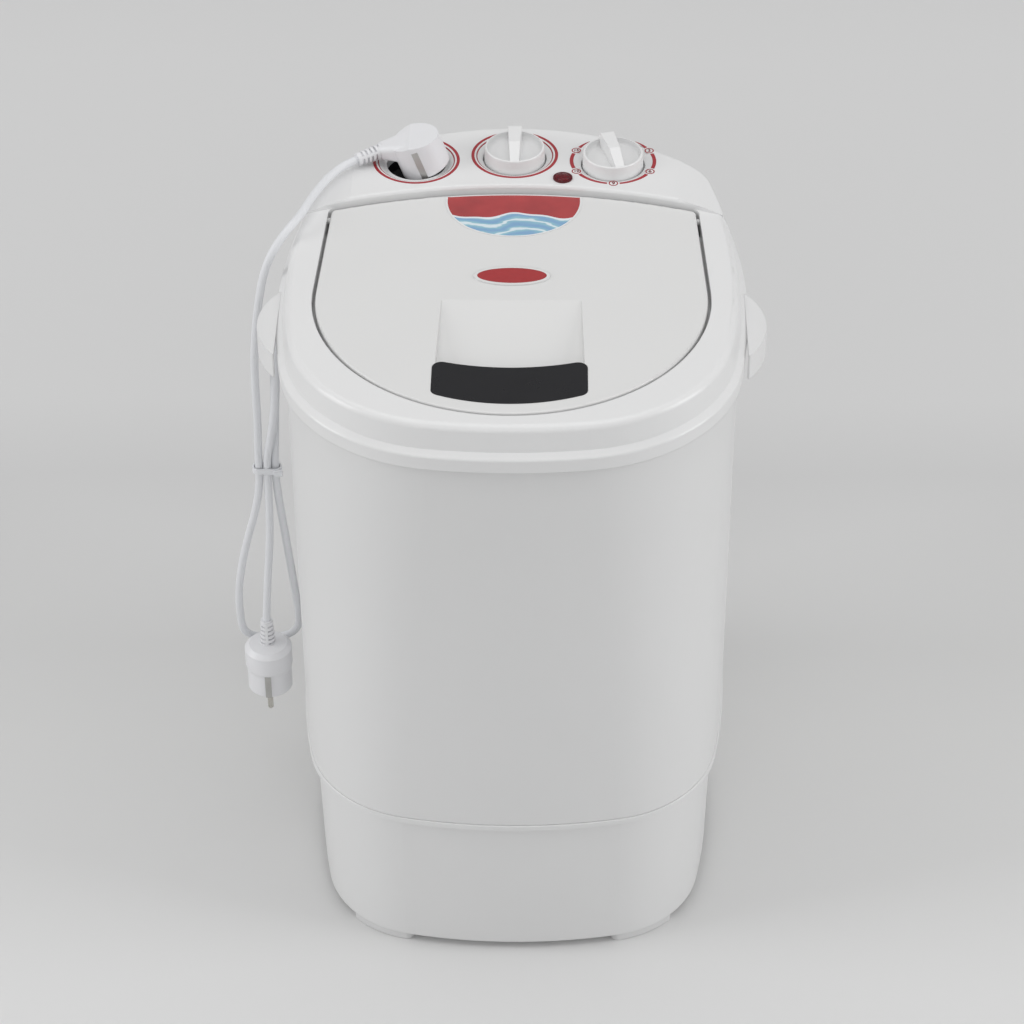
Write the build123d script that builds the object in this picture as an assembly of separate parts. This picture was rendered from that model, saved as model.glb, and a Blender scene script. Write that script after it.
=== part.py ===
from build123d import *
from math import atan2, cos, degrees, hypot, pi, radians, sin, sqrt, tan
import os

os.makedirs("parts", exist_ok=True)

# Rim of the cover seen from above: an egg of eight tangent arcs, front at -Y
rim_front = 205.5
rim_rear = 205.5
rim_half_width = 178.0
widest_y = -6.0
rim_front_r = 430.0
rim_corner_r = 131.0
side_r = 520.0
rim_rear_r = 214.0
rim_rear_corner_r = 45.0

# Bottom of the casing seen from above, a smaller egg round the same widest line
foot_front = 190.5
foot_rear = 197.5
foot_half_width = 171.0
foot_front_r = 428.0
foot_corner_r = 97.0
foot_rear_r = 206.0
foot_rear_corner_r = 42.0

# Top of the base seen from above, set in under its collar
skirt_front = 187.0
skirt_rear = 194.5
skirt_half_width = 165.0
skirt_front_r = 425.0
skirt_corner_r = 88.0
skirt_rear_r = 202.0
skirt_rear_corner_r = 40.0

# Cover, a moulded lid frame with a flange round the casing
flange_bottom = 503.5
flange_height = 11.0
ledge_rise = 4.0
ledge_in = 5.0
wall_height = 19.5
wall_lean = 3.5
cover_wall = 2.6
rim_round = 5.5
flange_round = 2.0
seat_above_flange = 9.2

# Casing, a thin tapered tube
casing_in = 6.0
casing_wall = 2.5
casing_bottom = 143.8
deck_ledge_width = 10.0
deck_ledge_thick = 3.0

# Base, a moulded skirt with a collar under the casing
collar_height = 5.5
collar_out = 1.0
edge_bevel = 0.6
base_bottom = 7.5
base_lean = 3.2
base_wall = 2.8
base_flange_width = 30.0
base_tongue_height = 8.0
fit_gap = 0.3

# Wash tub, a tapered drum that hangs from its deck
tub_y = -33.5
tub_mouth_r = 134.5
tub_floor_r = 120.0
tub_floor_round = 16.0
tub_wall = 2.5
tub_floor = 153.0
deck_top = 493.5
deck_thick = 2.5
deck_cut_y = 107.0
deck_cut_half = 112.0

tub_ribs = 3
tub_rib_r = 8.0
tub_rib_out = 3.0
tub_rib_length = 230.0

# Lid with its finger scoop
lid_r = 146.5
lid_taper = 2.9
lid_rear = 108.0
lid_rear_r = 414.0
lid_corner_r = 5.0
lid_plate = 3.0
lid_skirt = 11.7
lid_skirt_wall = 2.4
lid_gap = 2.6
lid_round = 1.6
hinge_y = 77.0
hinge_drop = 6.0
hinge_pin_d = 5.0
hinge_pin_reach = 5.6
hinge_clearance = 0.08
hinge_boss_d = 11.0
hinge_boss_reach = 4.0

scoop_half = 52.0
scoop_half_deep = 54.5
scoop_top_y = -38.0
scoop_edge_y = -126.0
scoop_end_y = -147.0
scoop_drop = 14.0
scoop_depth = 24.0
scoop_step = 6.0
scoop_wall = 2.4
scoop_corner_r = 14.0

# Glossy grip bar set into the lid over the front of the scoop
bar_half = 56.5
bar_rear_y = -124.4
bar_rear_r = 173.0
bar_front_y = -168.6
bar_front_r = 135.0
bar_thick = 4.0
bar_proud = 0.2
bar_corner_r = 7.0
bar_gap = 0.15

badge_y = -7.0
badge_half_x = 26.2
badge_half_y = 10.0
badge_border = 2.7
badge_border_rise = 1.0
badge_thick = 1.5

label_half = 52.7
label_thick = 0.3
label_drop = 1.6
label_low_y = 46.6
label_side_x = 36.0
label_side_y = 59.0

# Pocket of the cover that takes the lid, with a deep well for the hinge
pocket_floor = 526.0
pocket_wall = 2.5
mouth_r = 132.0
mouth_bottom = 484.0
well_front_y = 66.0
well_floor = 498.0

# Raised console behind the lid
console_z = 544.0
console_plate = 2.8
console_flat_half = 127.0
console_half = 145.0
console_side_drop = 2.6
console_end_half = 162.0
console_round = 2.6
side_dial_x = 77.5
side_dial_y = 146.5
centre_dial_y = 155.0
dish_r = 31.0
dish_depth = 3.5
well_r = 25.2
well_depth = 8.0
inlet_r = 23.2
dial_plate = 2.6

knob_r = 24.3
knob_top_r = 23.4
knob_base_gap = 0.8
knob_foot_round = 3.0
knob_rise = 8.2
knob_lip = 1.6
knob_lip_round = 1.0
knob_wall = 3.0
knob_pocket_depth = 5.5
knob_pocket_round = 3.0
ridge_rise = 6.8
ridge_set_in = 0.4
ridge_rear_width = 11.5
ridge_front_width = 7.0
ridge_crest_front = -4.0
ridge_crest_rear = 19.0
ridge_rear_drop = 2.5
hub_r = 7.0
shaft_d = 6.0
shaft_clearance = 0.05
shaft_up = 8.0
control_shaft_sunk = 10.0
timer_rest_turn = 14.0

lamp_x = 38.0
lamp_y = 121.0
lamp_r = 6.4
lamp_bezel_r = 7.6
lamp_bezel_thick = 1.0
lamp_body_length = 16.0
lamp_sunk = 3.0
lamp_dome_r = 15.4
lamp_dome = 1.4

timer_body = 46.0
timer_depth = 34.0
selector_body = 40.0
selector_depth = 24.0
control_screw_y = 15.0
control_bore = 12.0
tag_count = 5
tag_step = 8.0
tag_width = 6.0
tag_thick = 0.8
tag_long = 8.0

# Side grips moulded on the flange
grip_y = -38.0
grip_half = 40.0
grip_reach = 191.0
grip_bottom = 495.0
grip_wall = 2.6

# Inlet cup and pipe under the left dial
cup_r = 29.0
cup_wall = 2.0
cup_straight = 13.0
cup_depth = 30.0
pipe_r = 13.0
pipe_wall = 2.0
pipe_foot_z = 462.0

# Drive under the tub
axle_d = 12.0
axle_bottom = 22.0
bush_r = 9.0
bush_length = 14.0
running_gap = 0.05
housing_r = 22.0
housing_bottom = 60.0
housing_flange_r = 45.0
neck_r = 16.0
bracket_hole_x = 54.0
bracket_hole_y = 24.0
bracket_far_x = 38.0
bracket_far_y = 66.0
bracket_half = 70.0
grommet_reach = 41.0
housing_flange_thick = 6.0
web_thick = 4.0
web_tall = 34.0
web_slope = 30.0
seal_length = 7.0
pulley_r = 66.0
pulley_z = 28.0
pulley_width = 15.0
pulley_flange = 1.6
pulley_web = 4.0
pulley_hub_wall = 7.0
pulley_rim_wall = 5.0
pulley_holes = 5
pulley_hole_r = 10.0
motor_pulley_r = 15.0
belt_gap = 0.3
belt_thick = 4.2
belt_width = 8.0
motor_y = 91.5
motor_r = 50.0
motor_length = 78.0
motor_shaft_d = 10.0
bracket_thick = 2.5
bracket_drop = 10.0
grommet_r = 8.0
grommet_height = 6.0

pulsator_r = 84.0
pulsator_gap = 3.0
pulsator_edge = 5.0
pulsator_rise = 16.0
pulsator_vanes = 4
vane_width = 12.0
vane_rise = 12.0
vane_start = 14.0
vane_lean = 4.0
pulsator_hole_r = 2.5
pulsator_hole_reach = 67.2

capacitor_r = 17.0
capacitor_length = 58.0
capacitor_x = -88.0
capacitor_y = 96.0
clip_thick = 1.5

drain_x = 92.0
drain_y = -10.0
hose_r = 13.0
hose_wall = 3.0
drain_exit_x = 70.0
drain_exit_z = 46.0

nut_height = 5.0
screw_d = 4.0
screw_head_r = 3.9
screw_head = 2.6
screw_grip = 12.0
post_wall = 2.6
thread_gap = 0.05

vent_count = 9
vent_step = 3.2
vent_width = 3.5
vent_height = 34.0
vent_z = 66.0
base_screw_xs = (-70.0, 0.0, 70.0)

foot_width = 13.0
foot_edge = 7.0
plate_overlap = 10.0
plate_thick = 2.0

gland_x = -88.0
gland_zs = (452.0, 434.0)
gland_depth = 14.0
gland_wide = 15.0
gland_long = 24.0
gland_stem_r = 6.0
cord_out = 8.5

# Mains cords, plugs and the tie round them
cord_d = 6.4
plug_r = 19.6
plug_side = 25.0
plug_crest = 29.5
plug_crest_x = -3.0
plug_back = 27.5
plug_height = 45.0
plug_edge = 0.8
hood_start_z = 19.5
hood_start_wide = 31.0
hood_start_high = 19.0
hood_end_z = 25.0
hood_reach = 29.0
hood_corner = 4.0
plug_neck_r = 6.4
neck_end_r = 5.0
neck_core_r = 3.9
neck_slots = 5
neck_slot = 1.5
neck_first_slot = 0.1
neck_slot_step = 0.17
neck_spine = 2.4
pin_d = 4.8
pin_length = 19.0
pin_pitch = 19.0
pin_round = 1.6
strip_width = 5.0
strip_thick = 1.4
strip_drop = 0.3
upper_strip_length = 25.0
lower_strip_length = 22.0
tie_height = 5.0
tie_wall = 1.4
tie_z = 334.0

# Levels worked out from the sizes above
ledge_z = flange_bottom + flange_height
wall_z = ledge_z + ledge_rise
rim_z = wall_z + wall_height
rim_in = ledge_in + wall_lean
casing_top = flange_bottom + seat_above_flange
base_top = casing_bottom
collar_bottom = base_top - collar_height
hinge_z = rim_z - hinge_drop
deck_bottom = deck_top - deck_thick
dial_floor = console_z - well_depth
dial_under = dial_floor - dial_plate
control_shaft_top = dial_floor + shaft_up
tub_under = tub_floor - tub_wall


# Point at distance ra from a and rb from b; side +1 lies left of the way from a to b
def meet(a, ra, b, rb, side):
    dx = b[0] - a[0]
    dy = b[1] - a[1]
    apart = hypot(dx, dy)
    along = (ra * ra - rb * rb + apart * apart) / (2 * apart)
    off = side * sqrt(ra * ra - along * along)
    return a[0] + (along * dx - off * dy) / apart, a[1] + (along * dy + off * dx) / apart


# Centres and radii of an egg's eight arcs, front arc first and on round by the right
def egg(front, rear, half_width, front_r, corner_r, rear_r, rear_corner_r):
    front_c = (0, front_r - front)
    side_c = (half_width - side_r, widest_y)
    rear_c = (0, rear - rear_r)
    corner_c = meet(side_c, side_r - corner_r, front_c, front_r - corner_r, -1)
    back_c = meet(side_c, side_r - rear_corner_r, rear_c, rear_r - rear_corner_r, 1)
    right = [(corner_c, corner_r), (side_c, side_r), (back_c, rear_corner_r)]
    left = [((-c[0], c[1]), r) for c, r in reversed(right)]
    return [(front_c, front_r), *right, (rear_c, rear_r), *left]


rim = egg(rim_front, rim_rear, rim_half_width, rim_front_r, rim_corner_r, rim_rear_r, rim_rear_corner_r)
foot = egg(foot_front, foot_rear, foot_half_width, foot_front_r, foot_corner_r, foot_rear_r,
           foot_rear_corner_r)
skirt = egg(skirt_front, skirt_rear, skirt_half_width, skirt_front_r, skirt_corner_r, skirt_rear_r,
            skirt_rear_corner_r)


# Point where two tangent arcs of an egg meet, on the line through their centres
def joint_point(one, two, grow):
    small, big = (one, two) if one[1] < two[1] else (two, one)
    dx = small[0][0] - big[0][0]
    dy = small[0][1] - big[0][1]
    reach = (small[1] + grow) / hypot(dx, dy)
    return small[0][0] + dx * reach, small[0][1] + dy * reach


# Start, middle and end of one arc of an egg
def arc_points(plan, i, grow):
    centre, radius = plan[i]
    start = joint_point(plan[i - 1], plan[i], grow)
    end = joint_point(plan[i], plan[(i + 1) % len(plan)], grow)
    mx = (start[0] + end[0]) / 2 - centre[0]
    my = (start[1] + end[1]) / 2 - centre[1]
    reach = (radius + grow) / hypot(mx, my)
    return start, (centre[0] + mx * reach, centre[1] + my * reach), end


# Closed outline of an egg grown outward by grow, at height z
def egg_wire(plan, grow, z):
    edges = []
    for i in range(len(plan)):
        start, middle, end = arc_points(plan, i, grow)
        edges.append(ThreePointArc((*start, z), (*middle, z), (*end, z)))
    return Wire(edges)


# Solid between two egg outlines, one above the other
def slab(low_plan, low_grow, low_z, high_plan, high_grow, high_z):
    if low_plan is high_plan and low_grow == high_grow:
        return extrude(Face(egg_wire(low_plan, low_grow, low_z)), high_z - low_z, dir=(0, 0, 1))
    ends = [Face(egg_wire(low_plan, low_grow, low_z)), Face(egg_wire(high_plan, high_grow, high_z))]
    return loft(ends, ruled=True)


# Cylinder standing on height z
def post(x, y, z, radius, height):
    return Pos(x, y, z) * Cylinder(radius, height, align=(Align.CENTER, Align.CENTER, Align.MIN))


# Ring standing on height z
def ring(x, y, z, outer, inner, height):
    return post(x, y, z, outer, height) - post(x, y, z, inner, height)


# Box between two corners
def block(x0, x1, y0, y1, z0, z1):
    return Pos((x0 + x1) / 2, (y0 + y1) / 2, (z0 + z1) / 2) * Box(x1 - x0, y1 - y0, z1 - z0)


# Solid of revolution about the vertical line at (x, y), from points of radius and height
def turned(x, y, points):
    face = Plane.XZ * make_face(Polyline(*points, close=True))
    return Pos(x, y, 0) * revolve(face, Axis.Z)


# Screw with its head's underside at z, pointing up, or down with point -1
def screw(x, y, z, length, point=1):
    shank = post(x, y, z if point > 0 else z - length, screw_d / 2, length)
    head = post(x, y, z - screw_head if point > 0 else z, screw_head_r, screw_head)
    return shank + head


def write(name, *solids):
    shape = solids[0] if len(solids) == 1 else Compound(children=list(solids))
    export_step(shape, f"parts/{name}.step")


# Outline of the lid grown by grow: a front circle, two tapering sides and a rear arc
def lid_wire(grow, z):
    nx, ny = cos(radians(lid_taper)), sin(radians(lid_taper))
    side_reach = ny * tub_y + lid_r - lid_corner_r
    rear_c = lid_rear - lid_rear_r
    foot_x, foot_y = nx * side_reach, ny * side_reach - rear_c
    half = -ny * foot_x + nx * foot_y
    inside = half * half - foot_x * foot_x - foot_y * foot_y + (lid_rear_r - lid_corner_r) ** 2
    along = sqrt(inside) - half
    cx, cy = nx * side_reach - ny * along, ny * side_reach + nx * along
    corner = lid_corner_r + grow
    radial = corner / hypot(cx, cy - rear_c)
    front = (lid_r + grow) * nx, tub_y + (lid_r + grow) * ny
    side = cx + corner * nx, cy + corner * ny
    back = cx + cx * radial, cy + (cy - rear_c) * radial
    turn = (side[0] + back[0]) / 2 - cx, (side[1] + back[1]) / 2 - cy
    turn_reach = corner / hypot(*turn)
    bend = cx + turn[0] * turn_reach, cy + turn[1] * turn_reach
    edges = [ThreePointArc((-front[0], front[1], z), (0, tub_y - lid_r - grow, z), (*front, z))]
    edges.append(Line((*front, z), (*side, z)))
    edges.append(ThreePointArc((*side, z), (*bend, z), (*back, z)))
    edges.append(ThreePointArc((*back, z), (0, lid_rear + grow, z), (-back[0], back[1], z)))
    edges.append(ThreePointArc((-back[0], back[1], z), (-bend[0], bend[1], z), (-side[0], side[1], z)))
    edges.append(Line((-side[0], side[1], z), (-front[0], front[1], z)))
    return Wire(edges)


def lid_slab(grow, low, high):
    return extrude(Face(lid_wire(grow, low)), high - low, dir=(0, 0, 1))


# Everything in front of a line across the machine
def ahead_of(y, low, high):
    return block(-rim_half_width, rim_half_width, -rim_front, y, low, high)


# Half width of the lid at its hinge line
def lid_half_at(y):
    return (lid_r + sin(radians(lid_taper)) * (tub_y - y)) / cos(radians(lid_taper))


cover_post_places = ((124.0, -150.0), (159.0, widest_y), (124.0, 131.0))
cover_posts = [(side * x, y) for side in (-1, 1) for x, y in cover_post_places]


# Bulk of the console, set back from the lid by back and in from the rim and sides by inward
def console_bulk(back, inward, top_drop, low):
    top = console_z - top_drop
    lean = wall_lean / wall_height
    high_in = ledge_in + lean * (top - wall_z) + inward
    low_in = ledge_in + lean * (low - wall_z) + inward
    bulk = slab(rim, -low_in, low, rim, -high_in, top)
    bulk -= post(0, lid_rear - lid_rear_r, low - 1, lid_rear_r + back, top - low + 2)
    right = [(console_flat_half, top), (console_half, top - console_side_drop)]
    right += [(console_end_half, rim_z - top_drop), (console_end_half, low)]
    right = [(x - inward, z) for x, z in right]
    left = [(-x, z) for x, z in reversed(right)]
    across = extrude(Plane.XZ * make_face(Polyline(*right, *left, close=True)), rim_rear, both=True)
    bulk &= across
    return bulk


# Dish, well and centre hole of one dial
def dial_cut(x, y, hole_r, through):
    cut = turned(x, y, [
        (0, console_z + 1), (dish_r + 1, console_z + 1), (dish_r, console_z),
        (well_r, console_z - dish_depth), (0, console_z - dish_depth),
    ])
    if through:
        return cut + post(x, y, dial_under - 1, hole_r, well_depth + dial_plate + 1)
    cut += post(x, y, dial_floor, well_r, well_depth)
    return cut + post(x, y, dial_under - 1, hole_r, dial_plate + 2)


# Cup under a dial that carries its dish and well
def dial_cup(x, y, inner_r):
    under = console_z - console_plate / 2
    return turned(x, y, [
        (0, dial_under), (inner_r + dial_plate, dial_under),
        (inner_r + dial_plate, under - dish_depth - dial_plate), (dish_r + dial_plate, under), (0, under),
    ])


def cover():
    body = slab(rim, 0, flange_bottom, rim, 0, ledge_z)
    body += slab(rim, 0, ledge_z, rim, -ledge_in, wall_z)
    body += slab(rim, -ledge_in, wall_z, rim, -rim_in, rim_z)
    body = fillet(body.edges().group_by(Axis.Z)[-1], rim_round)
    at_ledge = body.edges().filter_by_position(Axis.Z, ledge_z - 0.1, ledge_z + 0.1)
    body = fillet(at_ledge, flange_round)
    bump = console_bulk(lid_gap, fit_gap, 0, wall_z)
    lips = bump.edges().filter_by_position(Axis.Z, console_z - 0.1, console_z + 0.1)
    lips = [edge for edge in lips if edge.geom_type != GeomType.LINE]
    bump = fillet(lips, console_round)
    hollow = slab(rim, -cover_wall, flange_bottom - 1, rim, -cover_wall, casing_top)
    inner_in = casing_in + casing_wall + cover_wall / 2
    hollow += slab(rim, -inner_in, casing_top, rim, -rim_in - cover_wall, rim_z - cover_wall)
    hollow += console_bulk(lid_gap + pocket_wall, fit_gap + cover_wall, console_plate, wall_z)
    body = body + bump - hollow
    lip = lid_gap + pocket_wall
    body += ahead_of(well_front_y, 0, rim_z) & lid_slab(lip, pocket_floor - pocket_wall, rim_z - 1)
    behind = block(-rim_half_width, rim_half_width, well_front_y - pocket_wall, rim_rear, 0, console_z)
    body += behind & lid_slab(lip, well_floor - pocket_wall, rim_z - 1)
    body += post(0, tub_y, mouth_bottom, mouth_r, pocket_floor - mouth_bottom)
    body -= post(0, tub_y, mouth_bottom - 1, mouth_r - pocket_wall, 100)
    body -= lid_slab(lid_gap, pocket_floor, console_z + 1)
    well = block(-rim_half_width, rim_half_width, well_front_y, rim_rear, well_floor, console_z + 1)
    body -= well & lid_slab(lid_gap, well_floor, console_z + 1)
    for side in (-1, 1):
        wall_x = lid_half_at(hinge_y) + lid_gap
        reach = pocket_wall + hinge_boss_reach
        boss = Rot(0, 90, 0) * Cylinder(hinge_boss_d / 2, reach - 1)
        body += Pos(side * (wall_x + 1 + reach / 2), hinge_y, hinge_z) * boss
        hole = Rot(0, 90, 0) * Cylinder(hinge_pin_d / 2 + hinge_clearance, 2 * hinge_pin_reach + 2)
        body -= Pos(side * lid_half_at(hinge_y), hinge_y, hinge_z) * hole
        body += grip(side)
        body -= grip_hollow(side)
    for x, y in ((side_dial_x, side_dial_y), (0, centre_dial_y)):
        body += dial_cup(x, y, well_r)
        body -= dial_cut(x, y, shaft_d / 2 + 1.5, False)
        for along in (-1, 1):
            screw_y = y + along * control_screw_y
            body -= post(x, screw_y, dial_under - 1, screw_d / 2 + fit_gap, dial_plate + 2)
    body += dial_cup(-side_dial_x, side_dial_y, inlet_r)
    body -= dial_cut(-side_dial_x, side_dial_y, inlet_r, True)
    for x, y in cover_posts:
        under = console_z - console_plate if y > hinge_y else rim_z - cover_wall
        body += post(x, y, deck_top, screw_d / 2 + post_wall, under + 0.5 - deck_top)
        body -= post(x, y, deck_top - 1, screw_d / 2 + thread_gap, screw_grip + 1)
    body -= post(lamp_x, lamp_y, console_z - console_plate - 1, lamp_r, console_plate + 2)
    return body


# Crescent seen from above that a side grip fills, grown by grow
def grip_plan(side, grow, inner_x):
    tip_x = side_at(rim, grip_y + grip_half) - 1
    reach = grip_reach + grow
    half = grip_half + grow
    arc = ThreePointArc((tip_x, grip_y - half, 0), (reach, grip_y, 0), (tip_x, grip_y + half, 0))
    back = Polyline((tip_x, grip_y + half, 0), (inner_x, grip_y + half, 0),
                    (inner_x, grip_y - half, 0), (tip_x, grip_y - half, 0))
    face = make_face([arc, *back.edges()])
    return face if side > 0 else mirror(face, Plane.YZ)


# Distance of an egg's side from the centre line at y
def side_at(plan, y, grow=0):
    centre, radius = plan[2]
    return centre[0] + sqrt((radius + grow) ** 2 - (y - centre[1]) ** 2)


def grip(side):
    inner_x = side_at(rim, grip_y) - cover_wall / 2
    face = grip_plan(side, 0, inner_x)
    return Pos(0, 0, grip_bottom) * extrude(face, ledge_z + 2 - grip_bottom, dir=(0, 0, 1))


def grip_hollow(side):
    inner_x = side_at(rim, grip_y) - casing_in + fit_gap
    face = grip_plan(side, -grip_wall, inner_x)
    return Pos(0, 0, grip_bottom - 1) * extrude(face, casing_top - grip_bottom + 1, dir=(0, 0, 1))


# Height share of z up the casing, from 0 at its bottom to 1 at its top
def casing_share(z):
    return (z - casing_bottom) / (casing_top - casing_bottom)


# Radius of the casing's back about the centre of its rear arc, at height z
def casing_back_r(z):
    low = foot_rear_r
    high = rim_rear_r - casing_in
    return low + (high - low) * casing_share(z)


# Place on the back of the machine at x, with its local Z pointing outward
def back_place(x, z, radius, centre_y):
    y = sqrt(radius ** 2 - x ** 2)
    return Plane(origin=(x, centre_y + y, z), z_dir=(x, y, 0))


rear_centre_y = rim_rear - rim_rear_r
tongue_mid = casing_bottom + base_tongue_height / 2


def gland_place(z):
    return back_place(gland_x, z, casing_back_r(z), rear_centre_y)


def base_screw_place(x):
    return back_place(x, tongue_mid, casing_back_r(tongue_mid), rear_centre_y)


def casing():
    tube = slab(foot, -edge_bevel, casing_bottom, foot, 0, casing_bottom + edge_bevel)
    tube += slab(foot, 0, casing_bottom + edge_bevel, rim, -casing_in, casing_top)
    inside = slab(foot, -casing_wall, casing_bottom, rim, -casing_in - casing_wall, casing_top)
    ledge_low = deck_bottom - deck_ledge_thick
    ledge = inside & block(-rim_half_width, rim_half_width, -rim_front, rim_rear, ledge_low, deck_bottom)
    ledge -= slab(rim, -casing_in - casing_wall - deck_ledge_width, ledge_low - 1,
                  rim, -casing_in - casing_wall - deck_ledge_width, deck_bottom + 1)
    tube = tube - inside + ledge
    for x, y in cover_posts:
        tube -= post(x, y, ledge_low - 1, screw_head_r + 1.5, deck_ledge_thick + 2)
    for z in gland_zs:
        tube -= gland_place(z) * Cylinder(gland_stem_r + fit_gap, 20)
    for x in base_screw_xs:
        tube -= base_screw_place(x) * Cylinder(screw_d / 2 + fit_gap, 12)
    return tube


def base():
    body = slab(skirt, -base_lean, base_bottom, skirt, 0, collar_bottom)
    body += slab(foot, collar_out - edge_bevel, collar_bottom, foot, collar_out, collar_bottom + edge_bevel)
    body += slab(foot, collar_out, collar_bottom + edge_bevel, foot, collar_out, base_top - edge_bevel)
    body += slab(foot, collar_out, base_top - edge_bevel, foot, collar_out - edge_bevel, base_top)
    tongue_in = casing_wall + fit_gap
    body += slab(foot, -tongue_in, base_top, foot, -tongue_in, base_top + base_tongue_height)
    inside = slab(skirt, -base_lean - base_wall, base_bottom + base_wall, skirt, -base_wall, collar_bottom)
    inside += slab(skirt, -base_wall, collar_bottom, skirt, -base_wall, base_top + base_tongue_height)
    hole_in = base_lean + base_flange_width
    inside += slab(skirt, -hole_in, base_bottom, skirt, -hole_in, base_bottom + base_wall)
    body -= inside
    for x, y in plate_screws():
        body -= post(x, y, base_bottom - 1, screw_d / 2 + thread_gap, base_wall + 2)
    for x in base_screw_xs:
        body -= base_screw_place(x) * Cylinder(screw_d / 2 + thread_gap, 40)
    for i in range(vent_count):
        turn = (i - (vent_count - 1) / 2) * vent_step
        slot = block(-vent_width / 2, vent_width / 2, skirt_rear_r - 30, skirt_rear_r + 10, 0, vent_height)
        body -= Pos(0, skirt_rear - skirt_rear_r, vent_z) * Rot(0, 0, turn) * slot
    body -= drain_place() * Cylinder(hose_r - hose_wall + fit_gap, 30)
    return body


def drain_place():
    share = (drain_exit_z - base_bottom) / (collar_bottom - base_bottom)
    radius = skirt_rear_r - base_lean * (1 - share)
    return back_place(drain_exit_x, drain_exit_z, radius, skirt_rear - skirt_rear_r)


def plate_screws():
    inward = base_lean + base_flange_width - plate_overlap / 2
    return [arc_points(skirt, i, -inward)[1] for i in range(len(skirt))]


def bottom_plate():
    inward = base_lean + base_flange_width - plate_overlap
    plate = slab(skirt, -inward, base_bottom - plate_thick, skirt, -inward, base_bottom)
    for x, y in plate_screws():
        plate -= post(x, y, base_bottom - plate_thick - 1, screw_d / 2 + fit_gap, plate_thick + 2)
    for i in range(vent_count):
        x = (i - (vent_count - 1) / 2) * 14
        plate -= block(x - vent_width / 2, x + vent_width / 2, motor_y - 40, motor_y + 20, 0, base_bottom + 1)
    return plate


def corner_foot(side, row):
    centre, radius = skirt[1] if row == "front" else skirt[3]
    start, sweep_angle = (-77, 31) if row == "front" else (8, 56)
    arc = CenterArc((0, 0), radius - base_lean - foot_edge, start, sweep_angle)
    pad = extrude(SlotArc(arc, foot_width), base_bottom)
    pad = Pos(centre[0], centre[1], 0) * pad
    pad = chamfer(pad.edges().group_by(Axis.Z)[0], 0.8)
    return pad if side > 0 else mirror(pad, Plane.YZ)


def tub_inner_r(z):
    return tub_floor_r + (tub_mouth_r - tub_floor_r) * (z - tub_floor) / (deck_top - tub_floor)


def tub_cone(low, high, out, low_round):
    cone = Cone(tub_inner_r(low) + out, tub_inner_r(high) + out, high - low)
    cone = Pos(0, tub_y, (low + high) / 2) * cone
    return fillet(cone.edges().group_by(Axis.Z)[0], low_round)


def bracket_holes():
    near_and_far = ((bracket_hole_x, bracket_hole_y), (bracket_far_x, bracket_far_y))
    return [(side * x, y) for side in (-1, 1) for x, y in near_and_far]


def motor_holes():
    ways = ((1, 0), (0, 1), (-1, 0), (0, -1))
    return [(dx * grommet_reach, motor_y + dy * grommet_reach) for dx, dy in ways]


def bearing_holes():
    pitch = (housing_flange_r + housing_r) / 2 + 2
    return [(pitch * cos(radians(a)), tub_y + pitch * sin(radians(a))) for a in (45, 135, 225, 315)]


# Inlet pipe as a cylinder from the cup down to the tub's wall, longer by extra at both ends
def inlet_pipe(radius, extra):
    away = hypot(side_dial_x, side_dial_y - tub_y)
    share = tub_inner_r(pipe_foot_z) / away
    end = Vector(-side_dial_x * share, tub_y + (side_dial_y - tub_y) * share, pipe_foot_z)
    top = Vector(-side_dial_x, side_dial_y, dial_under - cup_depth)
    way = (top - end).normalized()
    length = (top - end).length
    plane = Plane(origin=end - way * extra, z_dir=way)
    return plane * Cylinder(radius, length + extra, align=(Align.CENTER, Align.CENTER, Align.MIN))


def tub():
    body = tub_cone(tub_under, deck_top, tub_wall, tub_floor_round + tub_wall)
    deck_in = casing_in + casing_wall + 1
    deck = slab(rim, -deck_in, deck_bottom, rim, -deck_in, deck_top)
    deck -= block(-deck_cut_half, deck_cut_half, deck_cut_y, rim_rear, deck_bottom - 1, deck_top + 1)
    body += deck
    for x, y in bracket_holes():
        body += post(x, y, tub_under - bracket_drop, screw_d / 2 + post_wall, bracket_drop + 1)
    body += post(drain_x, drain_y, tub_under - 12, hose_r - hose_wall, 13)
    body += inlet_pipe(pipe_r + 2 + fit_gap, 0) & tub_collar()
    inner = tub_cone(tub_floor, deck_top + 5, 0, tub_floor_round)
    for i in range(tub_ribs):
        turn = 360 * (i + 0.5) / tub_ribs
        rib = Cylinder(tub_rib_r, tub_rib_length) + Pos(0, 0, tub_rib_length / 2) * Sphere(tub_rib_r)
        lean = degrees(atan2(tub_mouth_r - tub_floor_r, deck_top - tub_floor))
        rib_z = tub_floor + 30 + tub_rib_length / 2
        rib = Pos(tub_inner_r(rib_z) + tub_rib_out, 0, rib_z) * Rot(0, lean, 0) * rib
        inner -= Pos(0, tub_y, 0) * Rot(0, 0, turn) * rib
    body -= inner
    body -= post(0, tub_y, tub_under - 1, neck_r + fit_gap, tub_wall + 2)
    body -= post(drain_x, drain_y, tub_under - 13, hose_r - hose_wall - 2, 20)
    body -= inlet_pipe(pipe_r + fit_gap, 20)
    for x, y in bracket_holes():
        body -= post(x, y, tub_under - bracket_drop - 1, screw_d / 2 + thread_gap, bracket_drop + 1)
    for x, y in bearing_holes():
        body -= post(x, y, tub_under - 1, screw_d / 2 + thread_gap, 1 + tub_wall - 0.3)
    for x, y in cover_posts:
        body -= post(x, y, deck_bottom - 1, screw_d / 2 + fit_gap, deck_thick + 2)
    return body


# Shell just outside the tub that trims the inlet's collar
def tub_collar():
    shell = tub_cone(pipe_foot_z - 40, pipe_foot_z + 28, tub_wall + 4, 1)
    return shell


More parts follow.
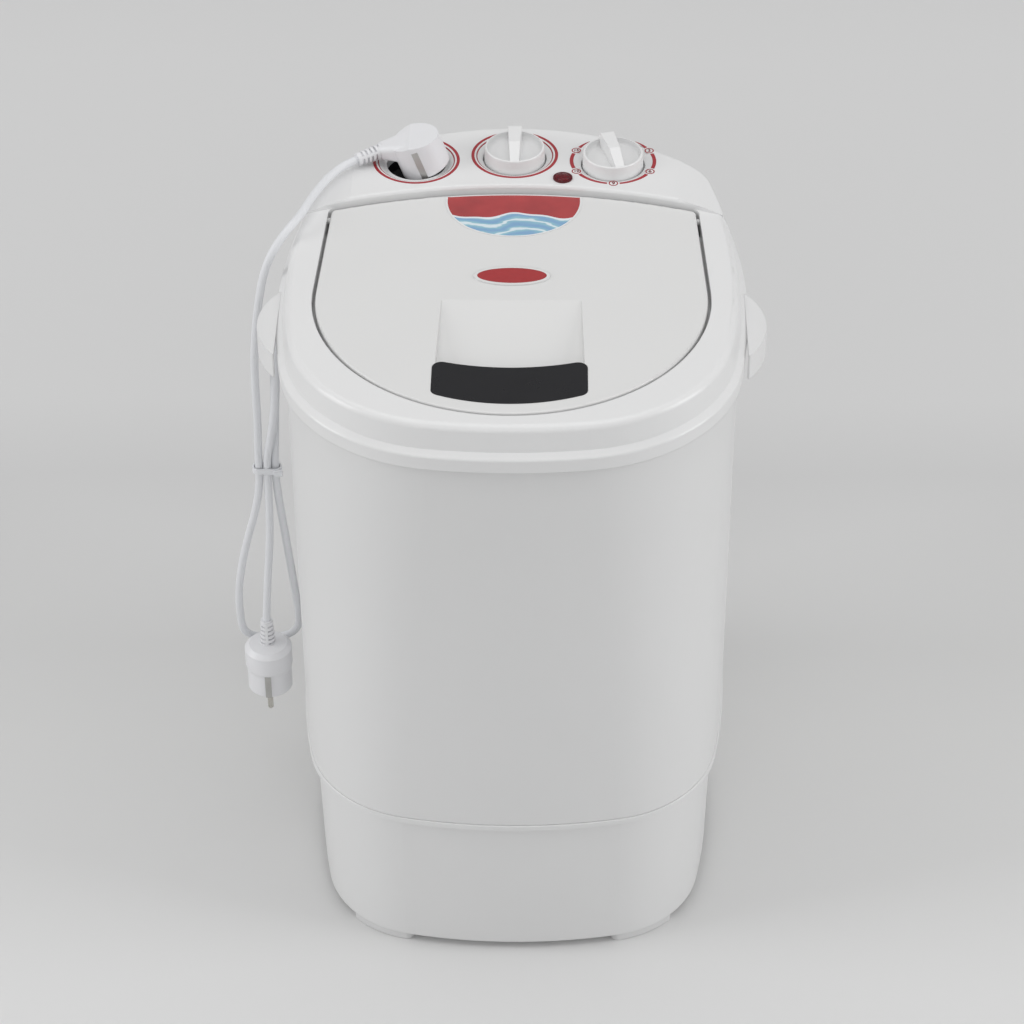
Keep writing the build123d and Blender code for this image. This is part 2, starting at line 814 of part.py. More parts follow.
def bearing_housing():
    top = tub_floor + 1
    body = post(0, tub_y, housing_bottom, housing_r, tub_under - housing_bottom)
    body += post(0, tub_y, tub_under - housing_flange_thick, housing_flange_r, housing_flange_thick)
    body += post(0, tub_y, tub_under, neck_r, top - tub_under)
    for turn in (0, 90, 180, 270):
        web_top = tub_under - housing_flange_thick
        web = Pos(0, 0, web_top - web_tall) * block(
            housing_r - 1, housing_flange_r - 2, -web_thick / 2, web_thick / 2, 0, web_tall)
        slope = Rot(0, -web_slope, 0) * block(0, 80, -web_thick, web_thick, -60, 0)
        web -= Pos(housing_r, 0, web_top - web_tall - 2) * slope
        body += Pos(0, tub_y, 0) * Rot(0, 0, turn) * web
    body -= post(0, tub_y, housing_bottom - 1, bush_r - 2, top - housing_bottom + 2)
    body -= post(0, tub_y, housing_bottom - 1, bush_r, bush_length + 1)
    body -= post(0, tub_y, top - seal_length - bush_length, bush_r, bush_length + seal_length + 1)
    for x, y in bearing_holes():
        low = tub_under - housing_flange_thick - 1
        body -= post(x, y, low, screw_d / 2 + fit_gap, housing_flange_thick + 2)
    return body


def bush(z):
    return ring(0, tub_y, z, bush_r, axle_d / 2 + running_gap, bush_length)


def seal():
    z = tub_floor + 1 - seal_length
    return ring(0, tub_y, z, bush_r, axle_d / 2 + running_gap, seal_length)


pulsator_z = tub_floor + pulsator_gap
axle_top = pulsator_z + pulsator_rise - 5


def axle():
    rod = post(0, tub_y, axle_bottom, axle_d / 2, axle_top - axle_bottom)
    return rod - post(0, tub_y, axle_top - screw_grip, screw_d / 2 + thread_gap, screw_grip + 1)


def pulsator():
    edge_top = pulsator_z + pulsator_edge
    top = edge_top + pulsator_rise
    disc = turned(0, tub_y, [
        (0, pulsator_z), (pulsator_r, pulsator_z), (pulsator_r, edge_top - 2), (pulsator_r - 2, edge_top),
        (pulsator_r * 0.6, edge_top + 2), (pulsator_r * 0.3, top - 3), (pulsator_r * 0.2, top), (0, top),
    ])
    vane_r = vane_width / 2
    length = pulsator_r - 24
    for i in range(pulsator_vanes):
        place = Pos(0, tub_y, 0) * Rot(0, 0, 360 * i / pulsator_vanes)
        vane = Rot(0, 90, 0) * Cylinder(vane_r, length) + Pos(length / 2, 0, 0) * Sphere(vane_r)
        vane = Pos(vane_start + length / 2, 0, edge_top + vane_rise - vane_r) * Rot(0, vane_lean, 0) * vane
        vane += block(vane_start, pulsator_r - 10, -vane_r, vane_r, pulsator_z + 1, edge_top + 5)
        disc += place * vane
    holes = 3 * pulsator_vanes
    for i in range(holes):
        turn = radians(360 * (i + 0.5) / holes)
        x, y = pulsator_hole_reach * cos(turn), tub_y + pulsator_hole_reach * sin(turn)
        disc -= post(x, y, pulsator_z - 1, pulsator_hole_r, top - pulsator_z)
    disc -= post(0, tub_y, pulsator_z - 1, axle_d / 2, axle_top - pulsator_z + 1)
    disc -= post(0, tub_y, pulsator_z, screw_d / 2 + fit_gap, top - pulsator_z)
    disc -= post(0, tub_y, top - screw_head, screw_head_r + fit_gap, top - pulsator_z)
    return disc


def pulley(x, y, radius, bore, web):
    low, high = pulley_z, pulley_z + pulley_width
    outer = radius + belt_thick / 2 + 0.5
    root = radius - belt_thick / 2 - belt_gap
    half = belt_width / 2 + belt_gap
    mid = (low + high) / 2
    rim_low, rim_high = mid - half - pulley_flange, mid + half + pulley_flange
    hub = bore + pulley_hub_wall
    points = [(bore, low), (hub, low), (hub, rim_low), (outer, rim_low), (outer, mid - half)]
    points += [(root, mid - half), (root, mid + half), (outer, mid + half), (outer, rim_high)]
    points += [(hub, rim_high), (hub, high), (bore, high)]
    wheel = turned(x, y, points)
    if web:
        recess = ring(x, y, 0, root - pulley_rim_wall, hub + pulley_rim_wall, half + pulley_flange)
        wheel -= Pos(0, 0, mid + pulley_web / 2) * recess
        wheel -= Pos(0, 0, mid - pulley_web / 2 - half - pulley_flange) * recess
        for i in range(pulley_holes):
            turn = 2 * pi * i / pulley_holes
            reach = (root + bore) / 2 + 4
            wheel -= post(x + reach * cos(turn), y + reach * sin(turn), low, pulley_hole_r, pulley_width)
    return wheel


def belt():
    mid = pulley_z + pulley_width / 2
    loops = []
    for out in (belt_thick / 2, -belt_thick / 2):
        big = Pos(0, tub_y) * Circle(pulley_r + out)
        small = Pos(0, motor_y) * Circle(motor_pulley_r + out)
        loops.append(make_hull([*big.edges(), *small.edges()]))
    band = extrude(loops[0] - loops[1], belt_width)
    return Pos(0, 0, mid - belt_width / 2) * band


bracket_top = tub_under - bracket_drop
bracket_low = bracket_top - bracket_thick
motor_top = bracket_low - grommet_height
motor_low = motor_top - motor_length


def bracket():
    plate = block(-bracket_half, bracket_half, bracket_hole_y - 10, motor_y + 42, bracket_low, bracket_top)
    plate += block(capacitor_x - 20, 0, capacitor_y - 20, capacitor_y + 20, bracket_low, bracket_top)
    plate = fillet(plate.edges().filter_by(Axis.Z), 6)
    plate -= post(0, motor_y, bracket_low - 1, 22, bracket_thick + 2)
    for x, y in bracket_holes():
        plate -= post(x, y, bracket_low - 1, screw_d / 2 + fit_gap, bracket_thick + 2)
    for x, y in motor_holes():
        plate -= post(x, y, bracket_low - 1, screw_d / 2 + fit_gap, bracket_thick + 2)
    plate -= post(capacitor_x - 14, capacitor_y, bracket_low - 1, screw_d / 2 + fit_gap, bracket_thick + 2)
    return plate


def motor():
    body = post(0, motor_y, motor_low + 8, motor_r, motor_length - 16)
    body += post(0, motor_y, motor_low, motor_r - 5, motor_length)
    body = fillet(body.edges().filter_by(GeomType.CIRCLE).group_by(Axis.Z)[0], 3)
    for i in range(12):
        slot = block(motor_r - 14, motor_r + 1, -3, 3, motor_low + 14, motor_low + 22)
        body -= Pos(0, motor_y, 0) * Rot(0, 0, 30 * i + 15) * slot
    body += post(0, motor_y, motor_low - 4, 12, 6)
    body -= post(0, motor_y, motor_low - 5, motor_shaft_d / 2 + running_gap, 25)
    for x, y in motor_holes():
        body -= post(x, y, motor_top - 10, screw_d / 2 + thread_gap, 11)
    return body


def grommets():
    bore = screw_d / 2 + thread_gap
    return [ring(x, y, motor_top, grommet_r, bore, grommet_height) for x, y in motor_holes()]


def motor_shaft():
    return post(0, motor_y, axle_bottom - 1, motor_shaft_d / 2, motor_low + 18 - axle_bottom)


def capacitor():
    body = post(capacitor_x, capacitor_y, bracket_low - capacitor_length, capacitor_r, capacitor_length)
    return fillet(body.edges().group_by(Axis.Z)[0], 2)


def capacitor_clip():
    low = bracket_low - capacitor_length / 2
    strap = ring(capacitor_x, capacitor_y, low - 8, capacitor_r + clip_thick, capacitor_r, 16)
    edge = capacitor_x - capacitor_r
    strap += block(edge - clip_thick, edge, capacitor_y - 5, capacitor_y + 5, low - 8, bracket_low)
    return strap


def drain_hose():
    place = drain_place()
    exit_point = place.origin - place.z_dir * (base_wall + 8)
    behind = place.origin - place.z_dir * 62
    low = drain_exit_z
    points = [(drain_x, drain_y, tub_under - 6), (drain_x, drain_y, low + 36), (drain_x, drain_y + 30, low),
              (behind.X, behind.Y, low), tuple(exit_point)]
    path = FilletPolyline(*points, radius=[22, 22, 30])
    start = Plane(origin=path @ 0, z_dir=path % 0)
    return sweep(start * (Circle(hose_r) - Circle(hose_r - hose_wall)), path=path)


def drain_spigot():
    place = drain_place()
    pipe = Pos(0, 0, 4) * Cylinder(hose_r - hose_wall, 32)
    pipe += Pos(0, 0, 2) * Cylinder(hose_r + 3, 3)
    pipe -= Pos(0, 0, 4) * Cylinder(hose_r - hose_wall - 2, 40)
    return place * pipe


def drain_cap():
    cap = Pos(0, 0, 12.5) * Cylinder(hose_r + 1, 17) - Pos(0, 0, 11) * Cylinder(hose_r - hose_wall, 18)
    for i in range(12):
        notch = Rot(0, 0, 30 * i) * Pos(hose_r + 1.6, 0, 12) * Cylinder(1.4, 20)
        cap -= notch
    return drain_place() * cap


def inlet_cup():
    top = dial_under
    low = top - cup_depth
    outer = [(0, low), (pipe_r, low), (cup_r, top - cup_straight), (cup_r, top), (0, top)]
    body = turned(-side_dial_x, side_dial_y, outer) + inlet_pipe(pipe_r, 0)
    inner = [(0, low - 1), (pipe_r - cup_wall, low - 1), (pipe_r - cup_wall, low + 2)]
    inner += [(cup_r - cup_wall, top - cup_straight + 1), (cup_r - cup_wall, top - 1.5)]
    inner += [(inlet_r + 1, top - 1.5), (inlet_r + 1, top + 1), (0, top + 1)]
    return body - turned(-side_dial_x, side_dial_y, inner) - inlet_pipe(pipe_r - pipe_wall, 5)


def control(x, y, size, depth, screw_along):
    body = block(x - size / 2, x + size / 2, y - size / 2, y + size / 2, dial_under - depth, dial_under)
    body = fillet(body.edges().filter_by(Axis.Z), 4)
    low = dial_under - depth
    for i in range(tag_count):
        mid = x + (i - (tag_count - 1) / 2) * tag_step
        tag = block(-tag_width / 2, tag_width / 2, -tag_thick / 2, tag_thick / 2, low - tag_long, low)
        body += Pos(mid, y, 0) * tag
    bore_low = dial_under - control_bore
    body -= post(x, y, bore_low, shaft_d / 2 + shaft_clearance, control_bore + 1)
    for along in (-1, 1):
        body -= post(x, y + along * screw_along, bore_low, screw_d / 2 + thread_gap, control_bore + 1)
    return body


def control_screws(x, y):
    return [screw(x, y + along * control_screw_y, dial_floor, screw_grip, -1) for along in (-1, 1)]


def control_shaft(x, y):
    low = dial_under - control_shaft_sunk
    return post(x, y, low, shaft_d / 2, control_shaft_top - low)


def knob(x, y, turn):
    low = dial_floor + knob_base_gap
    lip = console_z + knob_rise
    floor = lip - knob_pocket_depth
    body = Pos(0, 0, (low + lip) / 2) * Cone(knob_r, knob_top_r, lip - low)
    body = fillet(body.edges().group_by(Axis.Z)[-1], knob_lip_round)
    body = fillet(body.edges().group_by(Axis.Z)[0], knob_foot_round)
    bowl = post(0, 0, floor, knob_top_r - knob_lip, knob_pocket_depth + 1)
    body -= fillet(bowl.edges().group_by(Axis.Z)[0], knob_pocket_round)
    back = knob_top_r - ridge_set_in
    front_half = ridge_front_width / 2
    rear_half = ridge_rear_width / 2
    corners = [(-front_half, -back), (front_half, -back), (rear_half, back), (-rear_half, back)]
    crest = lip + ridge_rise
    ridge = Pos(0, 0, floor - 1) * extrude(make_face(Polyline(*corners, close=True)), crest - floor + 1)
    side = [(-back, floor - 1), (back, floor - 1), (back, crest - ridge_rear_drop), (ridge_crest_rear, crest)]
    side += [(ridge_crest_front, crest), (-back, lip - ridge_set_in)]
    ridge &= extrude(Plane.YZ * make_face(Polyline(*side, close=True)), knob_r, both=True)
    body += ridge & post(0, 0, floor - 1, knob_top_r, crest - floor + 2)
    hollow = post(0, 0, low - 1, knob_r - knob_wall, floor - knob_wall - low + 1)
    body -= hollow - post(0, 0, low - 1, hub_r, floor - low)
    body -= post(0, 0, low - 1, shaft_d / 2, control_shaft_top - low + 1)
    return Pos(x, y, 0) * Rot(0, 0, turn) * body


def lamp_lens():
    top = console_z + lamp_bezel_thick
    low = console_z - console_plate - lamp_sunk
    radius = lamp_r - 0.1
    lens = post(lamp_x, lamp_y, low, radius, top - low)
    dome = Pos(lamp_x, lamp_y, top + lamp_dome - lamp_dome_r) * Sphere(lamp_dome_r)
    return lens + (dome & post(lamp_x, lamp_y, top - 0.1, radius, lamp_dome_r))


def lamp_bezel():
    return ring(lamp_x, lamp_y, console_z, lamp_bezel_r, lamp_r, lamp_bezel_thick)


def lamp_holder():
    top = console_z - console_plate - lamp_sunk
    holder = post(lamp_x, lamp_y, top - lamp_body_length, lamp_r, lamp_body_length)
    holder += ring(lamp_x, lamp_y, top - 1, lamp_r + 2.5, lamp_r, 4)
    return holder


# Scoop seen from above, a slightly flaring slot with rounded front corners
def scoop_plan(out):
    y0, y1 = scoop_top_y + out, scoop_end_y - out
    flare = (scoop_half_deep - scoop_half) / (scoop_top_y - scoop_edge_y)
    half0 = scoop_half + out
    half1 = half0 + flare * (y0 - y1)
    face = make_face(Polyline((-half0, y0), (half0, y0), (half1, y1), (-half1, y1), close=True))
    return fillet(face.vertices().group_by(Axis.Y)[0], scoop_corner_r + out)


# Side view of the scoop's floor, dropped by drop
def scoop_solid(out):
    top = rim_z + 1
    deep = rim_z - scoop_depth - out
    edge = rim_z - scoop_drop - out
    start = scoop_top_y + out * 1.5
    side = [(start, top), (start, rim_z - out * 1.2), (scoop_edge_y, edge)]
    side += [(scoop_edge_y - scoop_step, deep), (scoop_end_y - out, deep), (scoop_end_y - out, top)]
    run = extrude(Plane.YZ * make_face(Polyline(*side, close=True)), lid_r, both=True)
    return run & (Pos(0, 0, deep - 1) * extrude(scoop_plan(out), top - deep + 2))


# Grip bar seen from above: a front and a rear arc that bow the same way, joined by straight ends
def bar_plan(out):
    half = bar_half + out
    shape = Pos(0, bar_front_y) * Rectangle(2 * half, bar_front_r)
    shape &= Pos(0, bar_front_y + bar_front_r) * Circle(bar_front_r + out)
    shape -= Pos(0, bar_rear_y + bar_rear_r) * Circle(bar_rear_r - out)
    return fillet(shape.vertices(), bar_corner_r + out)


def bar():
    return Pos(0, 0, rim_z - bar_thick) * extrude(bar_plan(-bar_gap), bar_thick + bar_proud)


def badge():
    return Pos(0, badge_y, rim_z - 0.5) * extrude(Ellipse(badge_half_x, badge_half_y), badge_thick)


# Half moon that the label covers, against the lid's rear edge
def label():
    low = ThreePointArc((-label_side_x, label_side_y), (0, label_low_y), (label_side_x, label_side_y))
    rear_c = lid_rear - lid_rear_r
    top_r = lid_rear_r - label_drop
    top_y = rear_c + sqrt(top_r ** 2 - label_half ** 2)
    shoulder = (label_half + label_side_x) / 2 + 5
    right = ThreePointArc((label_side_x, label_side_y), (shoulder, (label_side_y + top_y) / 2 - 3),
                          (label_half, top_y))
    left = ThreePointArc((-label_half, top_y), (-shoulder, (label_side_y + top_y) / 2 - 3),
                         (-label_side_x, label_side_y))
    top = ThreePointArc((label_half, top_y), (0, rear_c + top_r), (-label_half, top_y))
    return Pos(0, 0, rim_z) * extrude(make_face([low, right, top, left]), label_thick)


def lid():
    body = lid_slab(0, rim_z - lid_skirt, rim_z)
    body = fillet(body.edges().group_by(Axis.Z)[-1], lid_round)
    body -= lid_slab(-lid_skirt_wall, rim_z - lid_skirt, rim_z - lid_plate)
    bed = extrude(bar_plan(3), bar_thick + lid_plate)
    body += Pos(0, 0, rim_z - bar_thick - lid_plate) * bed & lid_slab(-1, rim_z - lid_skirt, rim_z - 1)
    body += scoop_solid(scoop_wall) & lid_slab(-1, rim_z - 60, rim_z - 1)
    body -= scoop_solid(0)
    body -= Pos(0, 0, rim_z - bar_thick) * extrude(bar_plan(0), bar_thick + 1)
    border = Ellipse(badge_half_x + badge_border, badge_half_y + badge_border)
    body += Pos(0, badge_y, rim_z - 1) * extrude(border, 1 + badge_border_rise)
    body -= Pos(0, badge_y, rim_z - 0.5) * extrude(Ellipse(badge_half_x, badge_half_y), 5)
    for side in (-1, 1):
        half = lid_half_at(hinge_y)
        pin = Rot(0, 90, 0) * Cylinder(hinge_pin_d / 2, hinge_pin_reach + 2)
        body += Pos(side * (half + (hinge_pin_reach - 2) / 2), hinge_y, hinge_z) * pin
    return body


# Hexagon nut under the large pulley
def axle_nut():
    body = extrude(RegularPolygon(9.5, 6), nut_height)
    return Pos(0, tub_y, pulley_z - nut_height) * body - post(0, tub_y, 0, axle_d / 2, 60)


# Screws through the back of the casing into the base's tongue
def base_screws():
    made = []
    for x in base_screw_xs:
        made.append(base_screw_place(x) * Pos(0, 0, 0.25) * Rot(180, 0, 0) * screw(0, 0, 0, 8))
    return made


# Hood on the back wall that leads a cord out along the wall
def gland(z):
    place = gland_place(z)
    hood = Pos(0, 0, gland_depth / 2 + 0.4) * Box(gland_long, gland_wide, gland_depth)
    hood = fillet(hood.edges().group_by(Axis.Z)[-1], 4)
    hood = place * (hood + Pos(0, 0, -2) * Cylinder(gland_stem_r, 6))
    exit_point, way = gland_exit(z)
    bore = Plane(origin=exit_point, z_dir=way) * Pos(0, 0, -5) * Cylinder(cord_d / 2, 10)
    return hood - bore


# Point where a cord leaves its hood, and its way from there
def gland_exit(z):
    place = gland_place(z)
    way = place.z_dir.cross(Vector(0, 0, 1)) * -1
    way = Vector(way.X, way.Y, 0).normalized()
    if way.X > 0:
        way = way * -1
    return place.origin + place.z_dir * cord_out + way * (gland_long / 2), way


# Straight runs joined by arcs, each arc as large as its two runs allow
def cord_path(points, name):
    points = [Vector(*p) for p in points]
    radii = []
    for before, here, after in zip(points, points[1:], points[2:]):
        turn = (here - before).get_angle(after - here)
        shorter = min((here - before).length, (after - here).length)
        radii.append(0.45 * shorter / tan(radians(turn) / 2))
    print(name, "radii", [round(r) for r in radii])
    return FilletPolyline(*points, radius=radii)


def cord(points, name):
    path = cord_path(points, name)
    tube = sweep(Plane(origin=path @ 0, z_dir=path % 0) * Circle(cord_d / 2), path=path)
    share = tube.volume / (path.length * pi * cord_d ** 2 / 4)
    print(name, "length", round(path.length), "volume against section times length", round(share, 4))
    return tube


# Upper plug, which stands in the inlet: middle of its pin face, and its way up
upper_plug_at = (-69.6, 146.5, 538.8)
upper_plug_tilt = 20.0
upper_neck_end = (-123.5, 136.5, 550.8)

# Lower plug, which hangs at the left side
lower_plug_at = (-205.0, 14.0, 112.0)
lower_neck_top = 181.0

cord_a_route = [
    upper_neck_end, (-132, 130.5, 550.2), (-139.5, 121.5, 549.4), (-147, 108.3, 548.8), (-153.6, 92.5, 548.4),
    (-158.8, 76, 548.2), (-163.5, 60, 548), (-170, 46.5, 547), (-178.5, 36, 540.5), (-186.5, 29.5, 528.5),
    (-192, 25.5, 512.5), (-195.5, 22.5, 494), (-199, 20, 470), (-201.5, 19, 442), (-202, 18.5, 412),
    (-202, 19, 381), (-203.3, 20, 352), (-203.5, 20, 320), (-208, 19, 293), (-216, 19, 265),
    (-222.5, 19, 237), (-227, 20.5, 208), (-228, 25, 182), (-227.5, 31, 155), (-219, 38.5, 142.3),
    (-204.2, 42, 138), (-189.5, 40.5, 142.3), (-180.3, 37, 155.5), (-179.5, 30, 178), (-181.5, 24, 212),
    (-184.5, 21, 252), (-188, 20.5, 290), (-190.5, 21.2, 320), (-190.5, 21.5, 344), (-189.5, 26, 364),
    (-188.5, 28, 387), (-187, 31, 409), (-186.5, 40, 426), (-186, 56, 435), (-183.5, 78, 437.5),
    (-178.5, 102, 437), (-170, 128, 435.8), (-154, 153, 434.6), (-131, 170.2, 434),
]
cord_b_route = [
    (-131, 170.2, 452), (-154, 153, 452.5), (-170, 128, 454), (-178.5, 102, 456), (-183.5, 78, 457),
    (-186, 56, 455.5), (-186.8, 37, 448), (-187, 24, 433), (-187, 18.5, 412), (-188.5, 16.5, 390),
    (-192.2, 17, 367), (-196.7, 19.3, 345), (-197, 19.5, 320), (-197, 17, 293), (-198, 16, 266),
    (-200.5, 15, 238), (-203, 14.3, 210), (*lower_plug_at[:2], lower_neck_top),
]


def cord_a():
    end, way = gland_exit(gland_zs[1])
    return cord([*cord_a_route, tuple(end)], "cord a")


def cord_b():
    start, way = gland_exit(gland_zs[0])
    return cord([tuple(start), *cord_b_route], "cord b")


# Neck between two points, with slots round it and a spine along the way that front points
def plug_neck(start, end, front):
    start, end, front = Vector(*start), Vector(*end), Vector(*front)
    way = (end - start).normalized()
    length = (end - start).length
    neck = Pos(0, 0, length / 2) * Cone(plug_neck_r, neck_end_r, length)
    spine = block(-plug_neck_r, plug_neck_r, -neck_spine / 2, neck_spine / 2, 0, length)
    for i in range(neck_slots):
        low = length * (neck_first_slot + i * neck_slot_step)
        neck -= ring(0, 0, low, plug_neck_r + 1, neck_core_r, neck_slot) - spine
    return Plane(origin=start, x_dir=front - way * front.dot(way), z_dir=way) * neck


def upper_place():
    tilt = radians(upper_plug_tilt)
    return Plane(origin=upper_plug_at, x_dir=(cos(tilt), 0, sin(tilt)), z_dir=(-sin(tilt), 0, cos(tilt)))


# Rounded rectangle across the upper plug's hood, at x along it
def hood_section(x, z, wide, high, corner):
    place = Plane(origin=(x, 0, z), x_dir=(0, 1, 0), z_dir=(-1, 0, 0))
    return place * RectangleRounded(wide, high, corner)


def upper_plug():
    body = post(0, 0, 0, plug_r, plug_crest)
    body = chamfer(body.edges().group_by(Axis.Z)[0], plug_edge)
    reach = plug_r + 1
    side = [(-reach, -1), (reach, -1), (reach, plug_side), (plug_crest_x, plug_crest), (-reach, plug_back)]
    body &= extrude(Plane.XZ * make_face(Polyline(*side, close=True)), reach, both=True)
    wide_end = hood_section(plug_crest_x, hood_start_z, hood_start_wide, hood_start_high, hood_corner)
    slim_end = hood_section(-hood_reach, hood_end_z, 2 * plug_neck_r, 2 * plug_neck_r - 1, hood_corner)
    body += loft([wide_end.face(), slim_end.face()], ruled=True)
    body = upper_place() * strip_grooves(body, upper_strip_length)
    place = upper_place()
    neck_start = place.origin - place.x_dir * (hood_reach - 1) + place.z_dir * hood_end_z
    return body + plug_neck(tuple(neck_start), upper_neck_end, (0, -1, 0.5))


def strip_grooves(body, length):
    for side in (-1, 1):
        outer = side * (plug_r + strip_thick)
        inner = side * (plug_r - strip_thick)
        body -= block(-strip_width / 2, strip_width / 2, min(outer, inner), max(outer, inner), -1, length)
    return body


def strips(length):
    bars = []
    for side in (-1, 1):
        outer = side * (plug_r - strip_drop)
        inner = side * (plug_r - strip_thick)
        low, high = min(outer, inner), max(outer, inner)
        bars.append(block(-strip_width / 2, strip_width / 2, low, high, 0, length))
    return bars


def pins(turn):
    pair = []
    for side in (-1, 1):
        pin = post(side * pin_pitch / 2, 0, -pin_length, pin_d / 2, pin_length)
        pair.append(Rot(0, 0, turn) * fillet(pin.edges().group_by(Axis.Z)[0], pin_round))
    return pair


def lower_place():
    return Plane(origin=lower_plug_at, x_dir=(1, 0, 0), z_dir=(0, 0, 1))


def lower_plug():
    nose_r = plug_r - 1.2
    top = plug_height
    points = [(0, 0), (nose_r, 0), (nose_r, top - 25), (plug_r, top - 21), (plug_r, top - 5)]
    points += [(plug_r - 4, top - 1), (plug_neck_r, top), (0, top)]
    body = lower_place() * strip_grooves(turned(0, 0, points), lower_strip_length)
    x, y, z = lower_plug_at
    return body + plug_neck((x, y, z + top - 1), (x, y, lower_neck_top), (0, -1, 0))


def cord_tie():
    low = tie_z - tie_height / 2
    half = cord_d + tie_wall
    mid = (-197.0, 20.3)
    outer = RectangleRounded(2 * (half + 4), 2 * (cord_d / 2 + tie_wall + 1.1), 5.4)
    inner = RectangleRounded(2 * (half + 4 - tie_wall), 2 * (cord_d / 2 + 1.1), 4.1)
    band = Pos(*mid, low) * extrude(outer - inner, tie_height)
    tail = block(mid[0] + 6, mid[0] + 13, mid[1] - 8.5, mid[1] - 4.8, low + 0.5, low + tie_height - 0.5)
    return band + tail


write("cover", cover())
write("casing", casing())
write("base", base())
write("bottom_plate", bottom_plate())
for row in ("front", "rear"):
    for side, name in ((-1, "left"), (1, "right")):
        write(f"foot_{row}_{name}", corner_foot(side, row))
write("tub", tub())
write("bearing_housing", bearing_housing())
write("bushes", bush(housing_bottom), bush(tub_floor + 1 - seal_length - bush_length))
write("seal", seal())
write("axle", axle())
write("pulsator", pulsator())
pulsator_seat = pulsator_z + pulsator_edge + pulsator_rise - screw_head
write("pulsator_screw", screw(0, tub_y, pulsator_seat, screw_grip, -1))
write("pulley_large", pulley(0, tub_y, pulley_r, axle_d / 2, True))
write("pulley_small", pulley(0, motor_y, motor_pulley_r, motor_shaft_d / 2, False))
write("belt", belt())
write("motor_bracket", bracket())
write("motor", motor())
write("motor_grommets", *grommets())
write("motor_shaft", motor_shaft())
write("capacitor", capacitor())
write("capacitor_clip", capacitor_clip())
write("drain_hose", drain_hose())
write("drain_spigot", drain_spigot())
write("drain_cap", drain_cap())
write("inlet_cup", inlet_cup())
write("timer", control(side_dial_x, side_dial_y, timer_body, timer_depth, control_screw_y))
write("selector", control(0, centre_dial_y, selector_body, selector_depth, control_screw_y))
write("control_screws", *control_screws(side_dial_x, side_dial_y), *control_screws(0, centre_dial_y))
write("timer_shaft", control_shaft(side_dial_x, side_dial_y))
write("selector_shaft", control_shaft(0, centre_dial_y))
write("timer_knob", knob(side_dial_x, side_dial_y, timer_rest_turn))
write("selector_knob", knob(0, centre_dial_y, 0))
write("lamp_lens", lamp_lens())
write("lamp_bezel", lamp_bezel())
write("lamp_holder", lamp_holder())
write("lid", lid())
write("grip_bar", bar())
write("badge", badge())
write("label", label())
write("cover_screws", *[screw(x, y, deck_bottom, deck_thick + screw_grip) for x, y in cover_posts])
write("gland_upper", gland(gland_zs[0]))
write("gland_lower", gland(gland_zs[1]))
write("cord_a", cord_a())
write("cord_b", cord_b())
write("plug_upper", upper_plug())
write("plug_upper_pins", *[upper_place() * pin for pin in pins(0)])
write("plug_upper_strips", *[upper_place() * bar for bar in strips(upper_strip_length)])
write("plug_lower", lower_plug())
write("plug_lower_pins", *[lower_place() * pin for pin in pins(90)])
write("plug_lower_strips", *[lower_place() * bar for bar in strips(lower_strip_length)])
write("cord_tie", cord_tie())
write("bracket_bolts", *[screw(x, y, bracket_low, screw_grip) for x, y in bracket_holes()])
motor_bolt_length = bracket_thick + grommet_height + 9
write("motor_bolts", *[screw(x, y, bracket_top, motor_bolt_length, -1) for x, y in motor_holes()])
housing_low = tub_under - housing_flange_thick
housing_bolt_length = housing_flange_thick + tub_wall - fit_gap
write("housing_bolts", *[screw(x, y, housing_low, housing_bolt_length) for x, y in bearing_holes()])
write("plate_screws", *[screw(x, y, base_bottom - plate_thick, screw_grip) for x, y in plate_screws()])
write("axle_nut", axle_nut())
write("base_screws", *base_screws())
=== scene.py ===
from math import cos, radians, sin, sqrt

import bmesh
import bpy
from mathutils import Matrix, Vector


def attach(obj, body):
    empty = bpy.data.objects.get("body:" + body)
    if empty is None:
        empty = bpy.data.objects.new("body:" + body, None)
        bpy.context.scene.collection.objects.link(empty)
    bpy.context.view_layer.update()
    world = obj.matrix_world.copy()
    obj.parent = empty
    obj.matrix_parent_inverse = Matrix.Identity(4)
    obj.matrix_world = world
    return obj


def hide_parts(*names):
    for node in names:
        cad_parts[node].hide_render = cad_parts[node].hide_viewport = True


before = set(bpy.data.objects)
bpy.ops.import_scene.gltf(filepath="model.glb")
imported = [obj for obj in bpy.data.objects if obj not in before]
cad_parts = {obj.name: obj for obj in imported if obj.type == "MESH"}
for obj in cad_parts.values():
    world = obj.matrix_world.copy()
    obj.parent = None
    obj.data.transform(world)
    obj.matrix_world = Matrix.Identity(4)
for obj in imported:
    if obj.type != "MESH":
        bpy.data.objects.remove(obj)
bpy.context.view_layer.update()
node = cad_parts
print("frame loaded with", len(node), "nodes")

# Camera: solved from the outlines of rim, casing and base, as a real distance and height
camera = {
    "lens": 113.86, "sensor": 36.0, "aside": -0.0007, "back": 2.0, "height": 1.90909, "centreY": -0.029,
    "pitch": 38.3007, "roll": -0.3572, "yaw": -1.008,
}


def makeCamera(c):
    data = bpy.data.cameras.new("camera")
    data.lens, data.sensor_width = c["lens"], c["sensor"]
    made = bpy.data.objects.new("camera", data)
    bpy.context.scene.collection.objects.link(made)
    heading = Matrix.Rotation(radians(-c["yaw"]), 4, "Z")
    place = heading @ Vector((c["aside"], -c["back"], c["height"])) + Vector((0, c["centreY"], 0))
    tilt = Matrix.Rotation(radians(90 - c["pitch"]), 4, "X") @ Matrix.Rotation(radians(c["roll"]), 4, "Z")
    made.matrix_world = Matrix.Translation(place) @ heading @ tilt
    bpy.context.scene.camera = made


makeCamera(camera)
print("camera placed")


